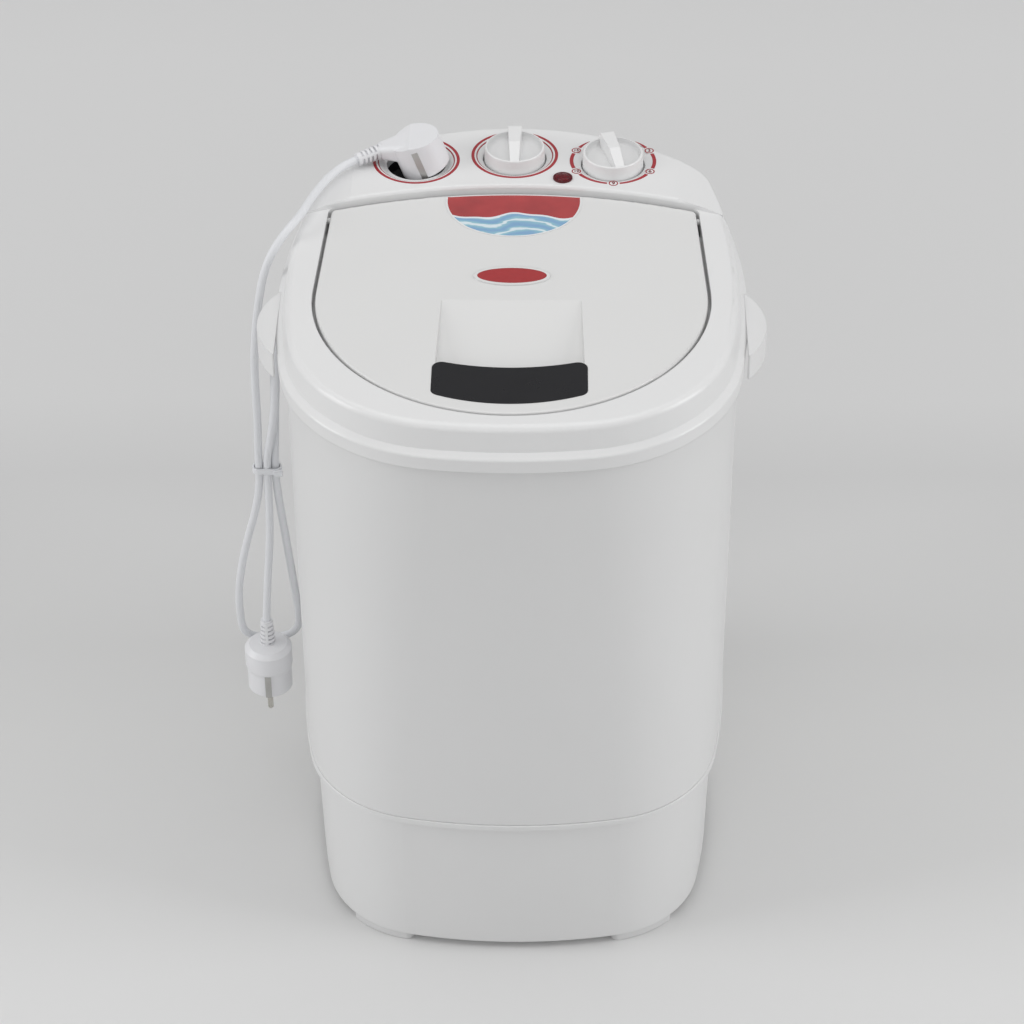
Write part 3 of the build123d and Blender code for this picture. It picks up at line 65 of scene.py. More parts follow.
# Shader maths: a socket that can stand in Python expressions
class Value:
    def __init__(self, nodes, socket):
        self.nodes = nodes
        self.socket = socket

    def maths(self, operation, *terms):
        return self.nodes.add("Math", {"operation": operation}, dict(enumerate(terms)))

    def __add__(self, other):
        return self.maths("ADD", self, other)

    def __sub__(self, other):
        return self.maths("SUBTRACT", self, other)

    def __rsub__(self, other):
        return self.maths("SUBTRACT", other, self)

    def __mul__(self, other):
        return self.maths("MULTIPLY", self, other)

    def __truediv__(self, other):
        return self.maths("DIVIDE", self, other)

    def __abs__(self):
        return self.maths("ABSOLUTE", self)

    def __lt__(self, other):
        return self.maths("LESS_THAN", self, other)

    def __gt__(self, other):
        return self.maths("GREATER_THAN", self, other)

    __radd__ = __add__
    __rmul__ = __mul__

    def most(self, other):
        return self.maths("MAXIMUM", self, other)

    def sine(self):
        return self.maths("SINE", self)


# One node tree, and the one way to add a node to it
class Nodes:
    def __init__(self, tree):
        self.tree = tree
        self.tree.nodes.clear()

    def add(self, kind, settings=None, sockets=None, output=0):
        made = self.tree.nodes.new("ShaderNode" + kind)
        for key, value in (settings or {}).items():
            if key == "stops":
                self.setStops(made.color_ramp, value)
            else:
                setattr(made, key, value)
        for key, value in (sockets or {}).items():
            if isinstance(value, Value):
                self.tree.links.new(value.socket, made.inputs[key])
            else:
                made.inputs[key].default_value = value
        return Value(self, made.outputs[output])

    def setStops(self, ramp, stops):
        while len(ramp.elements) < len(stops):
            ramp.elements.new(1.0)
        for element, (at, colour) in zip(ramp.elements, stops):
            element.position = at
            element.color = (*colour, 1)

    def close(self, kind, shader):
        out = self.tree.nodes.new("ShaderNodeOutput" + kind)
        self.tree.links.new(shader.socket, out.inputs["Surface"])


# One material and its surface
class Finish(Nodes):
    def __init__(self, name):
        self.material = bpy.data.materials.new(name)
        self.material.use_nodes = True
        super().__init__(self.material.node_tree)
        self.place = None

    def objectPlace(self):
        if self.place is None:
            self.place = self.add("TexCoord", None, None, "Object")
        return self.place

    def axes(self):
        place = self.objectPlace()
        return [self.add("SeparateXYZ", None, {0: place}, axis) for axis in ("X", "Y", "Z")]

    def noise(self, scale, detail=2.0, rough=0.5, stretch=None):
        place = self.objectPlace()
        if stretch:
            place = self.add("Mapping", None, {"Vector": place, "Scale": stretch})
        sockets = {"Vector": place, "Scale": scale, "Detail": detail, "Roughness": rough}
        return self.add("TexNoise", None, sockets, "Fac")

    def mixed(self, share, first, second):
        sockets = {0: share, 6: self.colour(first), 7: self.colour(second)}
        return self.add("Mix", {"data_type": "RGBA"}, sockets, 2)

    def colour(self, c):
        return c if isinstance(c, Value) else (*c, 1.0)

    def bump(self, height, distance, strength=1.0, normal=None):
        sockets = {"Height": height, "Distance": distance, "Strength": strength}
        if normal:
            sockets["Normal"] = normal
        return self.add("Bump", None, sockets)

    def softEdges(self, radius):
        return self.add("Bevel", {"samples": 6}, {"Radius": radius})

    def surface(self, sockets):
        settings = {"Base Color": self.colour(sockets.pop("Base Color"))}
        settings.update(sockets)
        shader = self.add("BsdfPrincipled", None, settings)
        self.close("Material", shader)
        return self.material


# Glossy moulded plastic: faint flow marks in its shine, fine dust scuffs and softened edges
def mouldedPlastic(name, look):
    f = Finish(name)
    flow = f.noise(look["flowScale"], 3.0, 0.55)
    scuff = f.noise(look["scuffScale"], 4.0, 0.7, (1.0, 1.0, 0.35))
    dirt = f.add("ValToRGB", {"stops": [(0.42, (0, 0, 0)), (0.78, (1, 1, 1))]}, {0: scuff})
    tone = f.mixed(flow * look["toneShare"], look["colour"], look["shade"])
    rough = look["roughness"] + look["roughVary"] * flow + look["scuffRough"] * dirt
    edge = f.softEdges(look["edge"])
    waves = f.bump(f.noise(look["waveScale"], 1.0, 0.4, look["waveStretch"]), look["waveHeight"], 1.0, edge)
    grain = f.bump(f.noise(look["grainScale"], 2.0, 0.6), look["grainHeight"], 1.0, waves)
    return f.surface({
        "Base Color": tone, "Roughness": rough, "IOR": look["ior"], "Normal": grain,
        "Coat Weight": look["coat"], "Coat Roughness": look["coatRough"],
    })


shellLook = {
    "colour": (0.80, 0.80, 0.80), "shade": (0.74, 0.745, 0.75), "toneShare": 0.5, "flowScale": 9.0,
    "scuffScale": 60.0, "roughness": 0.26, "roughVary": 0.08, "scuffRough": 0.06, "ior": 1.5,
    "waveScale": 16.0, "waveStretch": (1, 1, 0.6), "waveHeight": 0.0004, "grainScale": 900.0,
    "grainHeight": 0.00001, "edge": 0.0009, "coat": 0.15, "coatRough": 0.08,
}
lidLook = dict(shellLook, colour=(0.75, 0.75, 0.745), shade=(0.71, 0.71, 0.705), waveHeight=0.0007)
casingLook = dict(shellLook, colour=(0.765, 0.765, 0.765), shade=(0.71, 0.715, 0.715), flowScale=5.0,
                  waveScale=7.0, waveStretch=(1, 1, 0.35), waveHeight=0.0011, roughness=0.3)
tubLook = dict(shellLook, colour=(0.74, 0.75, 0.76), roughness=0.42, coat=0.0)
knobLook = dict(shellLook, colour=(0.82, 0.82, 0.82), flowScale=40.0, waveHeight=0.0001, roughness=0.25,
                edge=0.0006)
footLook = dict(shellLook, colour=(0.66, 0.66, 0.66), roughness=0.55, coat=0.0)
cordLook = dict(shellLook, colour=(0.77, 0.78, 0.80), shade=(0.72, 0.73, 0.76), flowScale=30.0,
                roughness=0.38, coat=0.0, waveHeight=0.0, edge=0.0004)
plugLook = dict(cordLook, colour=(0.80, 0.80, 0.82), shade=(0.75, 0.755, 0.77), edge=0.0007, roughness=0.32)
blackLook = dict(shellLook, colour=(0.008, 0.008, 0.010), shade=(0.013, 0.013, 0.015), flowScale=30.0,
                 roughness=0.24, waveHeight=0.00012, waveScale=30.0, coat=0.0, ior=1.33)
controlLook = dict(shellLook, colour=(0.035, 0.035, 0.04), shade=(0.05, 0.05, 0.055), roughness=0.45,
                   coat=0.0)
# The water inlet's cup is near black, darker than the other control parts: painted shade inside the inlet
# around the plug
inletShadeLook = dict(controlLook, colour=(0.014, 0.012, 0.014), shade=(0.02, 0.018, 0.02), roughness=0.5)
redLook = dict(shellLook, colour=(0.40, 0.018, 0.028), shade=(0.32, 0.012, 0.020), flowScale=70.0,
               roughness=0.3, waveHeight=0.0, coat=0.1)
badgeLook = dict(redLook, colour=(0.40, 0.022, 0.025), shade=(0.26, 0.010, 0.014), flowScale=140.0)
lampRingLook = dict(redLook, colour=(0.10, 0.004, 0.009), shade=(0.07, 0.003, 0.007), coat=0.0, ior=1.38)


# Rubber: dull, with a fine pitted skin
def rubber(name, look):
    f = Finish(name)
    bloom = f.noise(look["bloomScale"], 4.0, 0.65)
    tone = f.mixed(bloom, look["colour"], look["bloom"])
    pits = f.noise(look["pitScale"], 2.0, 0.7)
    skin = f.bump(pits, look["pitHeight"], 1.0, f.softEdges(look["edge"]))
    rough = look["roughness"] + look["roughVary"] * bloom
    return f.surface({"Base Color": tone, "Roughness": rough, "Normal": skin})


rubberLooks = {
    "rubberBlack": {"colour": (0.018, 0.018, 0.018), "bloom": (0.05, 0.05, 0.052), "bloomScale": 45.0,
                    "pitScale": 1300.0, "pitHeight": 0.00004, "edge": 0.0006, "roughness": 0.55,
                    "roughVary": 0.2},
    "hoseGrey": {"colour": (0.16, 0.165, 0.17), "bloom": (0.24, 0.245, 0.25), "bloomScale": 30.0,
                 "pitScale": 1100.0, "pitHeight": 0.00004, "edge": 0.0006, "roughness": 0.55,
                 "roughVary": 0.2},
}


# Plated or machined metal: fine turning marks and a little tarnish
metalShared = {"roughVary": 0.14, "edge": 0.0004, "markStrength": 0.6}


def metal(name, look):
    f = Finish(name)
    marks = f.noise(look["markScale"], 3.0, 0.6, look["markStretch"])
    tarnish = f.noise(look["tarnishScale"], 4.0, 0.6)
    tone = f.mixed(tarnish, look["colour"], look["tarnish"])
    rough = look["roughness"] + metalShared["roughVary"] * tarnish
    edge = f.softEdges(metalShared["edge"])
    normal = f.bump(marks, look["markHeight"], metalShared["markStrength"], edge)
    return f.surface({"Base Color": tone, "Metallic": look["metallic"], "Roughness": rough, "Normal": normal})


metalLooks = {
    "zincSteel": {"colour": (0.52, 0.53, 0.54), "tarnish": (0.40, 0.40, 0.39), "markScale": 400.0,
                  "markStretch": (1, 1, 0.05), "tarnishScale": 60.0, "roughness": 0.28, "metallic": 1.0,
                  "markHeight": 0.00003},
    "motorPaint": {"colour": (0.10, 0.105, 0.11), "tarnish": (0.13, 0.13, 0.135), "markScale": 700.0,
                   "markStretch": (1, 1, 1), "tarnishScale": 30.0, "roughness": 0.38, "metallic": 0.0,
                   "markHeight": 0.00003},
    "sinteredBronze": {"colour": (0.42, 0.27, 0.11), "tarnish": (0.28, 0.18, 0.08), "markScale": 1200.0,
                       "markStretch": (1, 1, 1), "tarnishScale": 90.0, "roughness": 0.4, "metallic": 1.0,
                       "markHeight": 0.00004},
    "nickelPin": {"colour": (0.66, 0.65, 0.61), "tarnish": (0.50, 0.48, 0.43), "markScale": 500.0,
                  "markStretch": (1, 0.05, 1), "tarnishScale": 150.0, "roughness": 0.2, "metallic": 1.0,
                  "markHeight": 0.00002},
    "stripGrey": {"colour": (0.56, 0.555, 0.54), "tarnish": (0.46, 0.455, 0.44), "markScale": 400.0,
                  "markStretch": (1, 1, 0.1), "tarnishScale": 120.0, "roughness": 0.34, "metallic": 1.0,
                  "markHeight": 0.00002},
}


# Signal lamp's lens: deep clear red with cut facets under its dome
lampLook = {"colour": (0.17, 0.003, 0.010), "deep": (0.04, 0.001, 0.003), "facet": 420.0, "height": 0.0005,
            "strength": 0.9, "roughness": 0.12, "ior": 1.36}


def lampRed(look):
    f = Finish("lampRed")
    sockets = {"Vector": f.objectPlace(), "Scale": look["facet"]}
    cells = f.add("TexVoronoi", {"feature": "F1"}, sockets, "Distance")
    tone = f.mixed(cells, look["colour"], look["deep"])
    normal = f.bump(cells, look["height"], look["strength"])
    return f.surface({
        "Base Color": tone, "Roughness": look["roughness"], "IOR": look["ior"], "Normal": normal,
    })


# Lid label: a red ground over blue and teal waves with white crests
labelLook = {
    "ground": (0.50, 0.030, 0.032), "deepGround": (0.28, 0.012, 0.016), "groundScale": 42.0,
    "sea": (0.20, 0.38, 0.60), "teal": (0.30, 0.56, 0.62), "crest": (0.80, 0.86, 0.90), "shoreY": 0.0755,
    "swing": 0.0035, "swell": (95.0, 1.1), "ripple": (230.0, 2.0), "rippleShare": 0.3,
    "bandScale": 520.0, "bandDrift": 5.0, "bandWave": 120.0, "bandSwing": 1.3,
    "driftScale": 60.0, "driftStretch": (1, 2.6, 1), "foamStops": [(0.80, (0, 0, 0)), (0.96, (1, 1, 1))],
    "foamShare": 0.8, "shoreHalf": 0.0011, "shoreShare": 0.9,
    "roughness": 0.22, "roughVary": 0.05, "coat": 0.5, "coatRough": 0.1,
}


def labelPicture(look):
    f = Finish("labelPicture")
    x, y = f.axes()[:2]
    longRate, longTurn = look["swell"]
    shortRate, shortTurn = look["ripple"]
    ripple = (x * shortRate + shortTurn).sine() * (look["swing"] * look["rippleShare"])
    swell = (x * longRate + longTurn).sine() * look["swing"] + ripple
    depth = look["shoreY"] + swell - y
    drift = f.noise(look["driftScale"], 2.0, 0.5, look["driftStretch"])
    weave = (x * look["bandWave"]).sine() * look["bandSwing"]
    bands = ((depth * look["bandScale"] + drift * look["bandDrift"] + weave).sine() + 1.0) * 0.5
    water = f.mixed(bands, look["sea"], look["teal"])
    foam = f.add("ValToRGB", {"stops": look["foamStops"]}, {0: bands})
    water = f.mixed(foam * look["foamShare"], water, look["crest"])
    ground = f.mixed(f.noise(look["groundScale"], 2.0), look["ground"], look["deepGround"])
    picture = f.mixed(depth > 0.0, ground, water)
    shoreLine = abs(depth) < look["shoreHalf"]
    picture = f.mixed(shoreLine * look["shoreShare"], picture, look["crest"])
    return f.surface({
        "Base Color": picture, "Roughness": look["roughness"] + look["roughVary"] * drift,
        "Coat Weight": look["coat"], "Coat Roughness": look["coatRough"],
    })


finish = {
    "shellWhite": mouldedPlastic("shellWhite", shellLook),
    "lidWhite": mouldedPlastic("lidWhite", lidLook),
    "casingWhite": mouldedPlastic("casingWhite", casingLook),
    "tubWhite": mouldedPlastic("tubWhite", tubLook),
    "knobWhite": mouldedPlastic("knobWhite", knobLook),
    "footWhite": mouldedPlastic("footWhite", footLook),
    "cordWhite": mouldedPlastic("cordWhite", cordLook),
    "blackGloss": mouldedPlastic("blackGloss", blackLook),
    "controlBlack": mouldedPlastic("controlBlack", controlLook),
    "inletPaintedShade": mouldedPlastic("inletPaintedShade", inletShadeLook),
    "plugWhite": mouldedPlastic("plugWhite", plugLook),
    "printRed": mouldedPlastic("printRed", redLook),
    "badgeRed": mouldedPlastic("badgeRed", badgeLook),
    "lampRing": mouldedPlastic("lampRing", lampRingLook),
    "lampRed": lampRed(lampLook),
    "labelPicture": labelPicture(labelLook),
}
for name, look in rubberLooks.items():
    finish[name] = rubber(name, look)
for name, look in metalLooks.items():
    finish[name] = metal(name, look)
print("materials made:", len(finish))

# Which finish each piece of the machine has
dressed = {
    "shellWhite": ["cover", "label"],
    "lidWhite": ["lid"],
    "casingWhite": ["casing", "base"],
    "tubWhite": ["tub", "pulsator", "drain_spigot", "drain_cap", "bottom_plate", "gland_upper",
                 "gland_lower", "lamp_holder"],
    "knobWhite": ["timer_knob", "selector_knob"],
    "footWhite": ["foot_front_left", "foot_front_right", "foot_rear_left", "foot_rear_right"],
    "cordWhite": ["cord_tie", "cord_a", "cord_b"],
    "plugWhite": ["plug_upper", "plug_lower"],
    # inlet_cup: near-black finish as painted shade inside the water inlet
    "inletPaintedShade": ["inlet_cup"],
    "blackGloss": ["grip_bar"],
    "controlBlack": ["timer", "selector", "pulley_large", "pulley_small", "capacitor"],
    "badgeRed": ["badge"],
    "lampRed": ["lamp_lens"],
    "lampRing": ["lamp_bezel"],
    "rubberBlack": ["belt", "seal", "motor_grommets"],
    "hoseGrey": ["drain_hose"],
    "zincSteel": ["axle", "motor_shaft", "motor_bracket", "capacitor_clip", "timer_shaft", "selector_shaft",
                  "control_screws", "cover_screws", "bracket_bolts", "motor_bolts", "housing_bolts",
                  "plate_screws", "axle_nut", "base_screws", "pulsator_screw"],
    "motorPaint": ["motor", "bearing_housing"],
    "sinteredBronze": ["bushes"],
    "nickelPin": ["plug_upper_pins", "plug_lower_pins"],
    "stripGrey": ["plug_upper_strips", "plug_lower_strips"],
}


def dress(piece, material):
    piece.data.materials.clear()
    piece.data.materials.append(material)


for name, pieces in dressed.items():
    for piece in pieces:
        dress(node[piece], finish[name])
left = set(node) - {piece for pieces in dressed.values() for piece in pieces}
print("nodes dressed, without a finish:", sorted(left))


# A finished mesh as a piece of the object, with its place in its mesh
def asPiece(name, bm, body, material):
    mesh = bpy.data.meshes.new(name)
    bm.to_mesh(mesh)
    bm.free()
    made = bpy.data.objects.new(name, mesh)
    bpy.context.scene.collection.objects.link(made)
    dress(made, material)
    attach(made, body)


# Mains cords, with their routes given as listed points
cordSize = {"diameter": 0.0064, "resolution": 10, "round": 6}
cordARoute = [
    (-0.1235, 0.1365, 0.5508), (-0.132, 0.1305, 0.5502), (-0.1395, 0.1215, 0.5494), (-0.147, 0.1083, 0.5488),
    (-0.1536, 0.0925, 0.5484), (-0.1588, 0.076, 0.5482), (-0.1635, 0.06, 0.548), (-0.17, 0.0465, 0.547),
    (-0.1785, 0.036, 0.5405), (-0.1865, 0.0295, 0.5285), (-0.192, 0.0255, 0.5125), (-0.1955, 0.0225, 0.494),
    (-0.199, 0.02, 0.47), (-0.2015, 0.019, 0.442), (-0.202, 0.0185, 0.412), (-0.202, 0.019, 0.381),
    (-0.2033, 0.02, 0.352), (-0.2035, 0.02, 0.32), (-0.208, 0.019, 0.293), (-0.216, 0.019, 0.265),
    (-0.2225, 0.019, 0.237), (-0.227, 0.0205, 0.208), (-0.228, 0.025, 0.182), (-0.2275, 0.031, 0.155),
    (-0.219, 0.0385, 0.1423), (-0.2042, 0.042, 0.138), (-0.1895, 0.0405, 0.1423), (-0.1803, 0.037, 0.1555),
    (-0.1795, 0.03, 0.178), (-0.1815, 0.024, 0.212), (-0.1845, 0.021, 0.252), (-0.188, 0.0205, 0.29),
    (-0.1905, 0.0212, 0.32), (-0.1905, 0.0215, 0.344), (-0.1895, 0.026, 0.364), (-0.1885, 0.028, 0.387),
    (-0.187, 0.031, 0.409), (-0.1865, 0.04, 0.426), (-0.186, 0.056, 0.435), (-0.1835, 0.078, 0.4375),
    (-0.1785, 0.102, 0.437), (-0.17, 0.128, 0.4358), (-0.154, 0.153, 0.4346), (-0.131, 0.1702, 0.434),
    (-0.1025, 0.1821, 0.434),
]
cordBRoute = [
    (-0.1025, 0.1822, 0.452), (-0.131, 0.1702, 0.452), (-0.154, 0.153, 0.4525), (-0.17, 0.128, 0.454),
    (-0.1785, 0.102, 0.456), (-0.1835, 0.078, 0.457), (-0.186, 0.056, 0.4555), (-0.1868, 0.037, 0.448),
    (-0.187, 0.024, 0.433),
    (-0.187, 0.0185, 0.412), (-0.1885, 0.0165, 0.39), (-0.1922, 0.017, 0.367), (-0.1967, 0.0193, 0.345),
    (-0.197, 0.0195, 0.32), (-0.197, 0.017, 0.293), (-0.198, 0.016, 0.266), (-0.2005, 0.015, 0.238),
    (-0.203, 0.0143, 0.21), (-0.205, 0.014, 0.181),
]


def makeCord(name, route):
    data = bpy.data.curves.new(name, "CURVE")
    data.dimensions = "3D"
    data.bevel_depth = cordSize["diameter"] / 2
    data.bevel_resolution = cordSize["round"]
    data.resolution_u = cordSize["resolution"]
    spline = data.splines.new("NURBS")
    spline.points.add(len(route) - 1)
    for point, at in zip(spline.points, route):
        point.co = (*at, 1)
    spline.order_u = 3
    spline.use_endpoint_u = True
    made = bpy.data.objects.new(name + "_flex", data)
    bpy.context.scene.collection.objects.link(made)
    dress(made, finish["cordWhite"])
    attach(made, "cabinet")
    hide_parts(name)


makeCord("cord_a", cordARoute)
makeCord("cord_b", cordBRoute)
print("cords laid")

# Printed dials: a red ring with a fine inner line, and the timer's broken ring with its numbers
dialPrint = {
    "z": 0.544, "thick": 0.00008, "steps": 160, "dishR": 0.031, "wellR": 0.0252, "dishDepth": 0.0035,
    "outer": 0.0343, "inner": 0.0319, "lineOuter": 0.0304, "lineInner": 0.0295,
    "timerOuter": 0.0341, "timerSide": 0.0029, "timerFront": 0.0021, "ring": 0.0327,
    "circle": 0.0037, "circleWidth": 0.0009, "gap": 8.5, "numberSize": 0.0054, "stroke": 0.00016,
    "places": {"inlet": (-0.0775, 0.1465), "selector": (0, 0.155), "timer": (0.0775, 0.1465)},
    "numbers": {"3": 28, "6": -28, "9": -90, "12": -152, "15": -208}, "tail": 58,
    "tip": 0.0003, "twoDigits": 0.78,
}


# Flat ring sector, from one turn to another in degrees, with its own width at each end, added to bm
def addArc(bm, centre, inner, outer, start, end, p, endInner=None):
    turn = Matrix.Rotation(radians(start), 3, "Z")
    at = Vector((*centre, 0))
    ends = [bm.verts.new(at + turn @ Vector((r, 0, 0))) for r in (inner, outer)]
    edge = bm.edges.new(ends)
    first = len(bm.verts) - 2
    steps = max(6, int(p["steps"] * abs(end - start) / 360))
    full = end - start >= 360
    bmesh.ops.spin(bm, geom=[*ends, edge], cent=at, axis=(0, 0, 1), angle=radians(end - start), steps=steps,
                   use_merge=full)
    bm.verts.ensure_lookup_table()
    for vert in bm.verts[first:]:
        out = vert.co - at
        if endInner and out.length < (inner + outer) / 2:
            share = out.angle(turn @ Vector((1, 0, 0))) / radians(abs(end - start))
            out *= 1 + share * (endInner / inner - 1)
        vert.co = at + out
        dip = max(0, p["dishR"] - (vert.co - at).length) * p["dishDepth"] / (p["dishR"] - p["wellR"])
        vert.co.z = p["z"] - (dip if inner > p["wellR"] else 0)


def thickened(bm, thick):
    bmesh.ops.recalc_face_normals(bm, faces=bm.faces)
    down = [f for f in bm.faces if f.normal.z < 0]
    bmesh.ops.reverse_faces(bm, faces=down)
    raised = bmesh.ops.extrude_face_region(bm, geom=list(bm.faces))
    verts = [v for v in raised["geom"] if isinstance(v, bmesh.types.BMVert)]
    bmesh.ops.translate(bm, verts=verts, vec=(0, 0, thick))
    return bm


# Number as flat faces, centred on a point
def addNumber(bm, text, centre, size, p):
    letters = bpy.data.curves.new("number", "FONT")
    letters.body, letters.size, letters.offset = text, size, p["stroke"]
    letters.align_x, letters.align_y = "CENTER", "CENTER"
    letters.resolution_u = 4
    carrier = bpy.data.objects.new("number", letters)
    bpy.context.scene.collection.objects.link(carrier)
    bpy.context.view_layer.update()
    mesh = bpy.data.meshes.new_from_object(carrier)
    mesh.transform(Matrix.Translation((*centre, p["z"])))
    bm.from_mesh(mesh)
    bpy.data.objects.remove(carrier)
    bpy.data.curves.remove(letters)
    bpy.data.meshes.remove(mesh)


# Broken ring between the timer's numbers: widest at its sides, with a thin tail at each end
def addTimerRing(bm, p):
    centre = p["places"]["timer"]
    side, front = p["timerOuter"] - p["timerSide"], p["timerOuter"] - p["timerFront"]
    turns = list(p["numbers"].values())
    inners = [side, side, front, side, side]
    for i in range(len(turns) - 1):
        start, end = turns[i] - p["gap"], turns[i + 1] + p["gap"]
        addArc(bm, centre, inners[i], p["timerOuter"], start, end, p, inners[i + 1])
    tip = p["timerOuter"] - p["tip"]
    addArc(bm, centre, side, p["timerOuter"], turns[0] + p["gap"], p["tail"], p, tip)
    addArc(bm, centre, side, p["timerOuter"], turns[-1] - p["gap"], -180 - p["tail"], p, tip)


def makeDialPrint(p):
    for dial in ("inlet", "selector"):
        bm = bmesh.new()
        centre = p["places"][dial]
        addArc(bm, centre, p["inner"], p["outer"], 0, 360, p)
        addArc(bm, centre, p["lineInner"], p["lineOuter"], 0, 360, p)
        asPiece(dial + "_print", thickened(bm, p["thick"]), "cabinet", finish["printRed"])
    bm = bmesh.new()
    addTimerRing(bm, p)
    cx, cy = p["places"]["timer"]
    for text, turn in p["numbers"].items():
        at = (cx + p["ring"] * cos(radians(turn)), cy + p["ring"] * sin(radians(turn)))
        addArc(bm, at, p["circle"] - p["circleWidth"], p["circle"], 0, 360, p)
        addNumber(bm, text, at, p["numberSize"] * (1 if len(text) == 1 else p["twoDigits"]), p)
    asPiece("timer_print", thickened(bm, p["thick"]), "cabinet", finish["printRed"])


makeDialPrint(dialPrint)
print("dials printed")

# Picture on the lid's half-moon label, inside its white border
labelPlate = {
    "lowY": 0.0466, "sideX": 0.036, "sideY": 0.059, "half": 0.0527, "rearR": 0.4124, "rearY": 0.108 - 0.414,
    "shoulderOut": 0.005, "shoulderDown": 0.003, "border": 0.0016, "z": 0.5383, "thick": 0.0001, "steps": 24,
}


# Points on the arc from a through b to c, without c
def throughThree(a, b, c, steps):
    ax, ay, bx, by, cx, cy = *a, *b, *c
    d = 2 * (ax * (by - cy) + bx * (cy - ay) + cx * (ay - by))
    sa, sb, sc = ax * ax + ay * ay, bx * bx + by * by, cx * cx + cy * cy
    centre = Vector(((sa * (by - cy) + sb * (cy - ay) + sc * (ay - by)) / d,
                     (sa * (cx - bx) + sb * (ax - cx) + sc * (bx - ax)) / d))
    start, end = Vector(a) - centre, Vector(c) - centre
    sweep = start.angle_signed(end)
    return [centre + Matrix.Rotation(-sweep * i / steps, 2) @ start for i in range(steps)]


def makeLabelPicture(p):
    topY = p["rearY"] + sqrt(p["rearR"] ** 2 - p["half"] ** 2)
    outX = (p["half"] + p["sideX"]) / 2 + p["shoulderOut"]
    outY = (p["sideY"] + topY) / 2 - p["shoulderDown"]
    corners = [
        (-p["sideX"], p["sideY"]), (0, p["lowY"]), (p["sideX"], p["sideY"]), (outX, outY), (p["half"], topY),
        (0, p["rearY"] + p["rearR"]), (-p["half"], topY), (-outX, outY), (-p["sideX"], p["sideY"]),
    ]
    outline = []
    for i in range(0, 8, 2):
        outline += throughThree(*corners[i:i + 3], p["steps"])
    bm = bmesh.new()
    face = bm.faces.new([bm.verts.new((*at, p["z"])) for at in outline])
    bmesh.ops.recalc_face_normals(bm, faces=[face])
    rim = bmesh.ops.inset_individual(bm, faces=[face], thickness=p["border"])
    bmesh.ops.delete(bm, geom=rim["faces"], context="FACES")
    asPiece("label_print", thickened(bm, p["thick"]), "lid", finish["labelPicture"])


makeLabelPicture(labelPlate)
print("label printed")

# Studio: a pale floor that curves up behind, with painted shade along its depth, and soft lamps
studio = {
    "floorHalf": 9.0, "curveY": 7.0, "curveR": 2.0, "wallTop": 6.0, "curveSteps": 16,
    "cloudScale": 1.2, "cloudShare": 0.04, "paperRough": 0.9, "paperShine": 0.1,
    "shadeFrom": -0.3, "shadeRun": 1.7, "world": 0.42, "backdrop": 0.62,
    # Painted shade on the paper: lighter at the front, darkest in a band behind the machine, lighter again
    # further back
    "paintedShades": [(0.0, (0.75, 0.75, 0.75)), (0.22, (0.72, 0.72, 0.715)), (0.44, (0.635, 0.635, 0.635)),
               (0.51, (0.69, 0.69, 0.69)), (0.9, (0.755, 0.755, 0.755))],
    "lamps": {
        "top": {"at": (0.0, 0.1, 2.7), "to": (0, 0, 0.2), "size": (2.6, 2.2), "watts": 18.0},
        "left": {"at": (-5.2, -0.9, 2.5), "to": (0, 0, 0.35), "size": (2.3, 3.6), "watts": 102.0},
        "right": {"at": (5.2, -0.9, 2.5), "to": (0, 0, 0.35), "size": (2.3, 3.6), "watts": 102.0},
        "front": {"at": (0.0, -5.2, 3.3), "to": (0, 0, 0.3), "size": (4.5, 2.1), "watts": 33.0},
    },
}


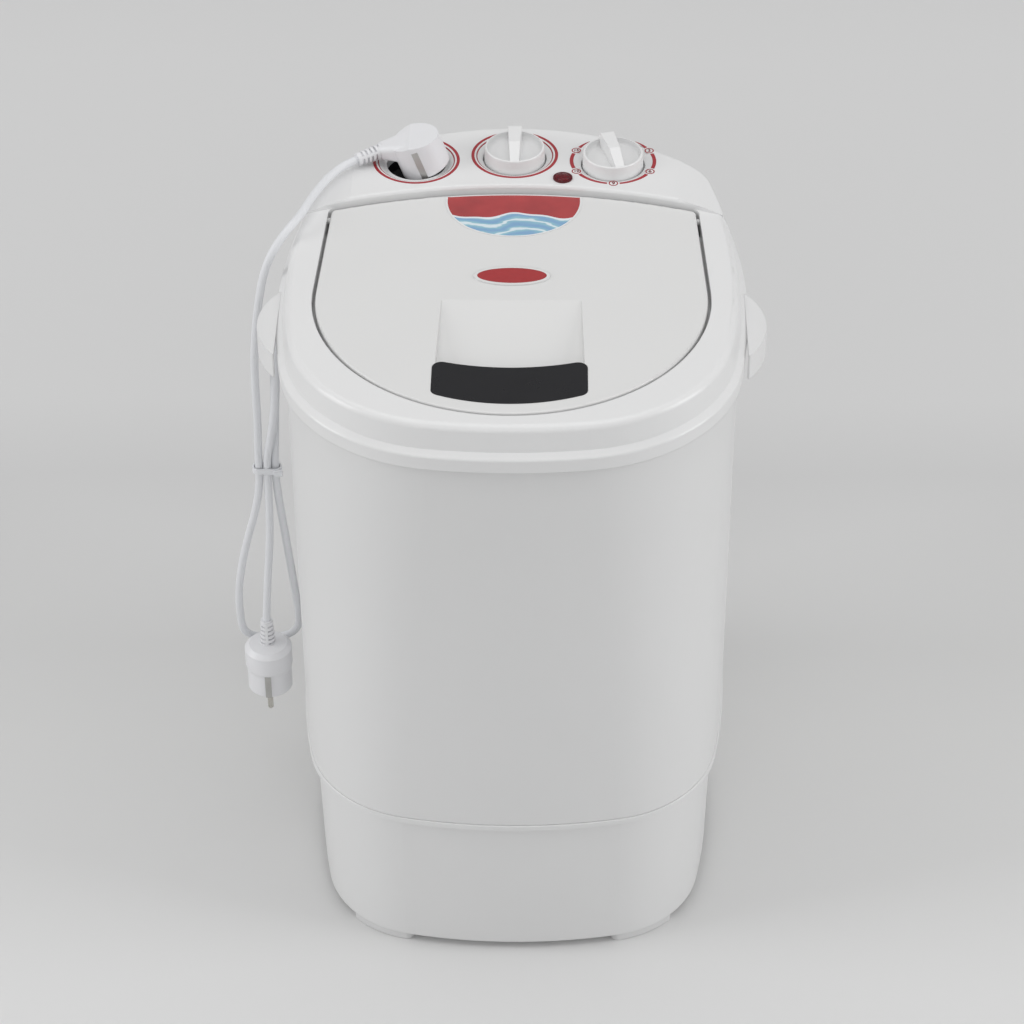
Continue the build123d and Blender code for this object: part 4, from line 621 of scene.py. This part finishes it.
def makeFloor(s):
    bm = bmesh.new()
    line = [Vector((-s["floorHalf"], -s["floorHalf"], 0)), Vector((-s["floorHalf"], s["curveY"], 0))]
    for i in range(1, s["curveSteps"] + 1):
        turn = radians(90) * i / s["curveSteps"]
        backY = s["curveY"] + s["curveR"] * sin(turn)
        line.append(Vector((-s["floorHalf"], backY, s["curveR"] * (1 - cos(turn)))))
    line.append(Vector((-s["floorHalf"], s["curveY"] + s["curveR"], s["wallTop"])))
    verts = [bm.verts.new(at) for at in line]
    edges = [bm.edges.new(pair) for pair in zip(verts, verts[1:])]
    swept = bmesh.ops.extrude_edge_only(bm, edges=edges)
    moved = [v for v in swept["geom"] if isinstance(v, bmesh.types.BMVert)]
    bmesh.ops.translate(bm, verts=moved, vec=(2 * s["floorHalf"], 0, 0))
    for face in bm.faces:
        face.smooth = True
    mesh = bpy.data.meshes.new("floor")
    bm.to_mesh(mesh)
    bm.free()
    made = bpy.data.objects.new("floor", mesh)
    bpy.context.scene.collection.objects.link(made)
    f = Finish("paper")
    cloud = f.noise(s["cloudScale"], 2.0)
    along = (f.axes()[1] - s["shadeFrom"]) / s["shadeRun"] + (cloud - 0.5) * s["cloudShare"]
    # The paper's colour ramp along its depth is painted shade: lighter at the front, darkest in a band behind
    # the machine
    shade = f.add("ValToRGB", {"stops": s["paintedShades"]}, {0: along})
    paper = {"Base Color": shade, "Roughness": s["paperRough"], "Specular IOR Level": s["paperShine"]}
    dress(made, f.surface(paper))


def makeLamps(s):
    for name, lamp in s["lamps"].items():
        data = bpy.data.lights.new(name, "AREA")
        data.shape = "RECTANGLE"
        data.size, data.size_y = lamp["size"]
        data.energy = lamp["watts"]
        made = bpy.data.objects.new(name, data)
        bpy.context.scene.collection.objects.link(made)
        made.location = lamp["at"]
        made.rotation_euler = (Vector(lamp["to"]) - Vector(lamp["at"])).to_track_quat("-Z", "Y").to_euler()
    world = bpy.data.worlds.new("studio")
    world.use_nodes = True
    w = Nodes(world.node_tree)
    direct, glossy = [w.add("LightPath", None, None, "Is " + kind + " Ray") for kind in ("Camera", "Glossy")]
    strength = direct.most(glossy) * (s["backdrop"] - s["world"]) + s["world"]
    w.close("World", w.add("Background", None, {"Color": (1, 1, 1, 1), "Strength": strength}))
    bpy.context.scene.world = world


makeFloor(studio)
makeLamps(studio)
bpy.context.scene.view_settings.view_transform = "Standard"
print("studio lit")
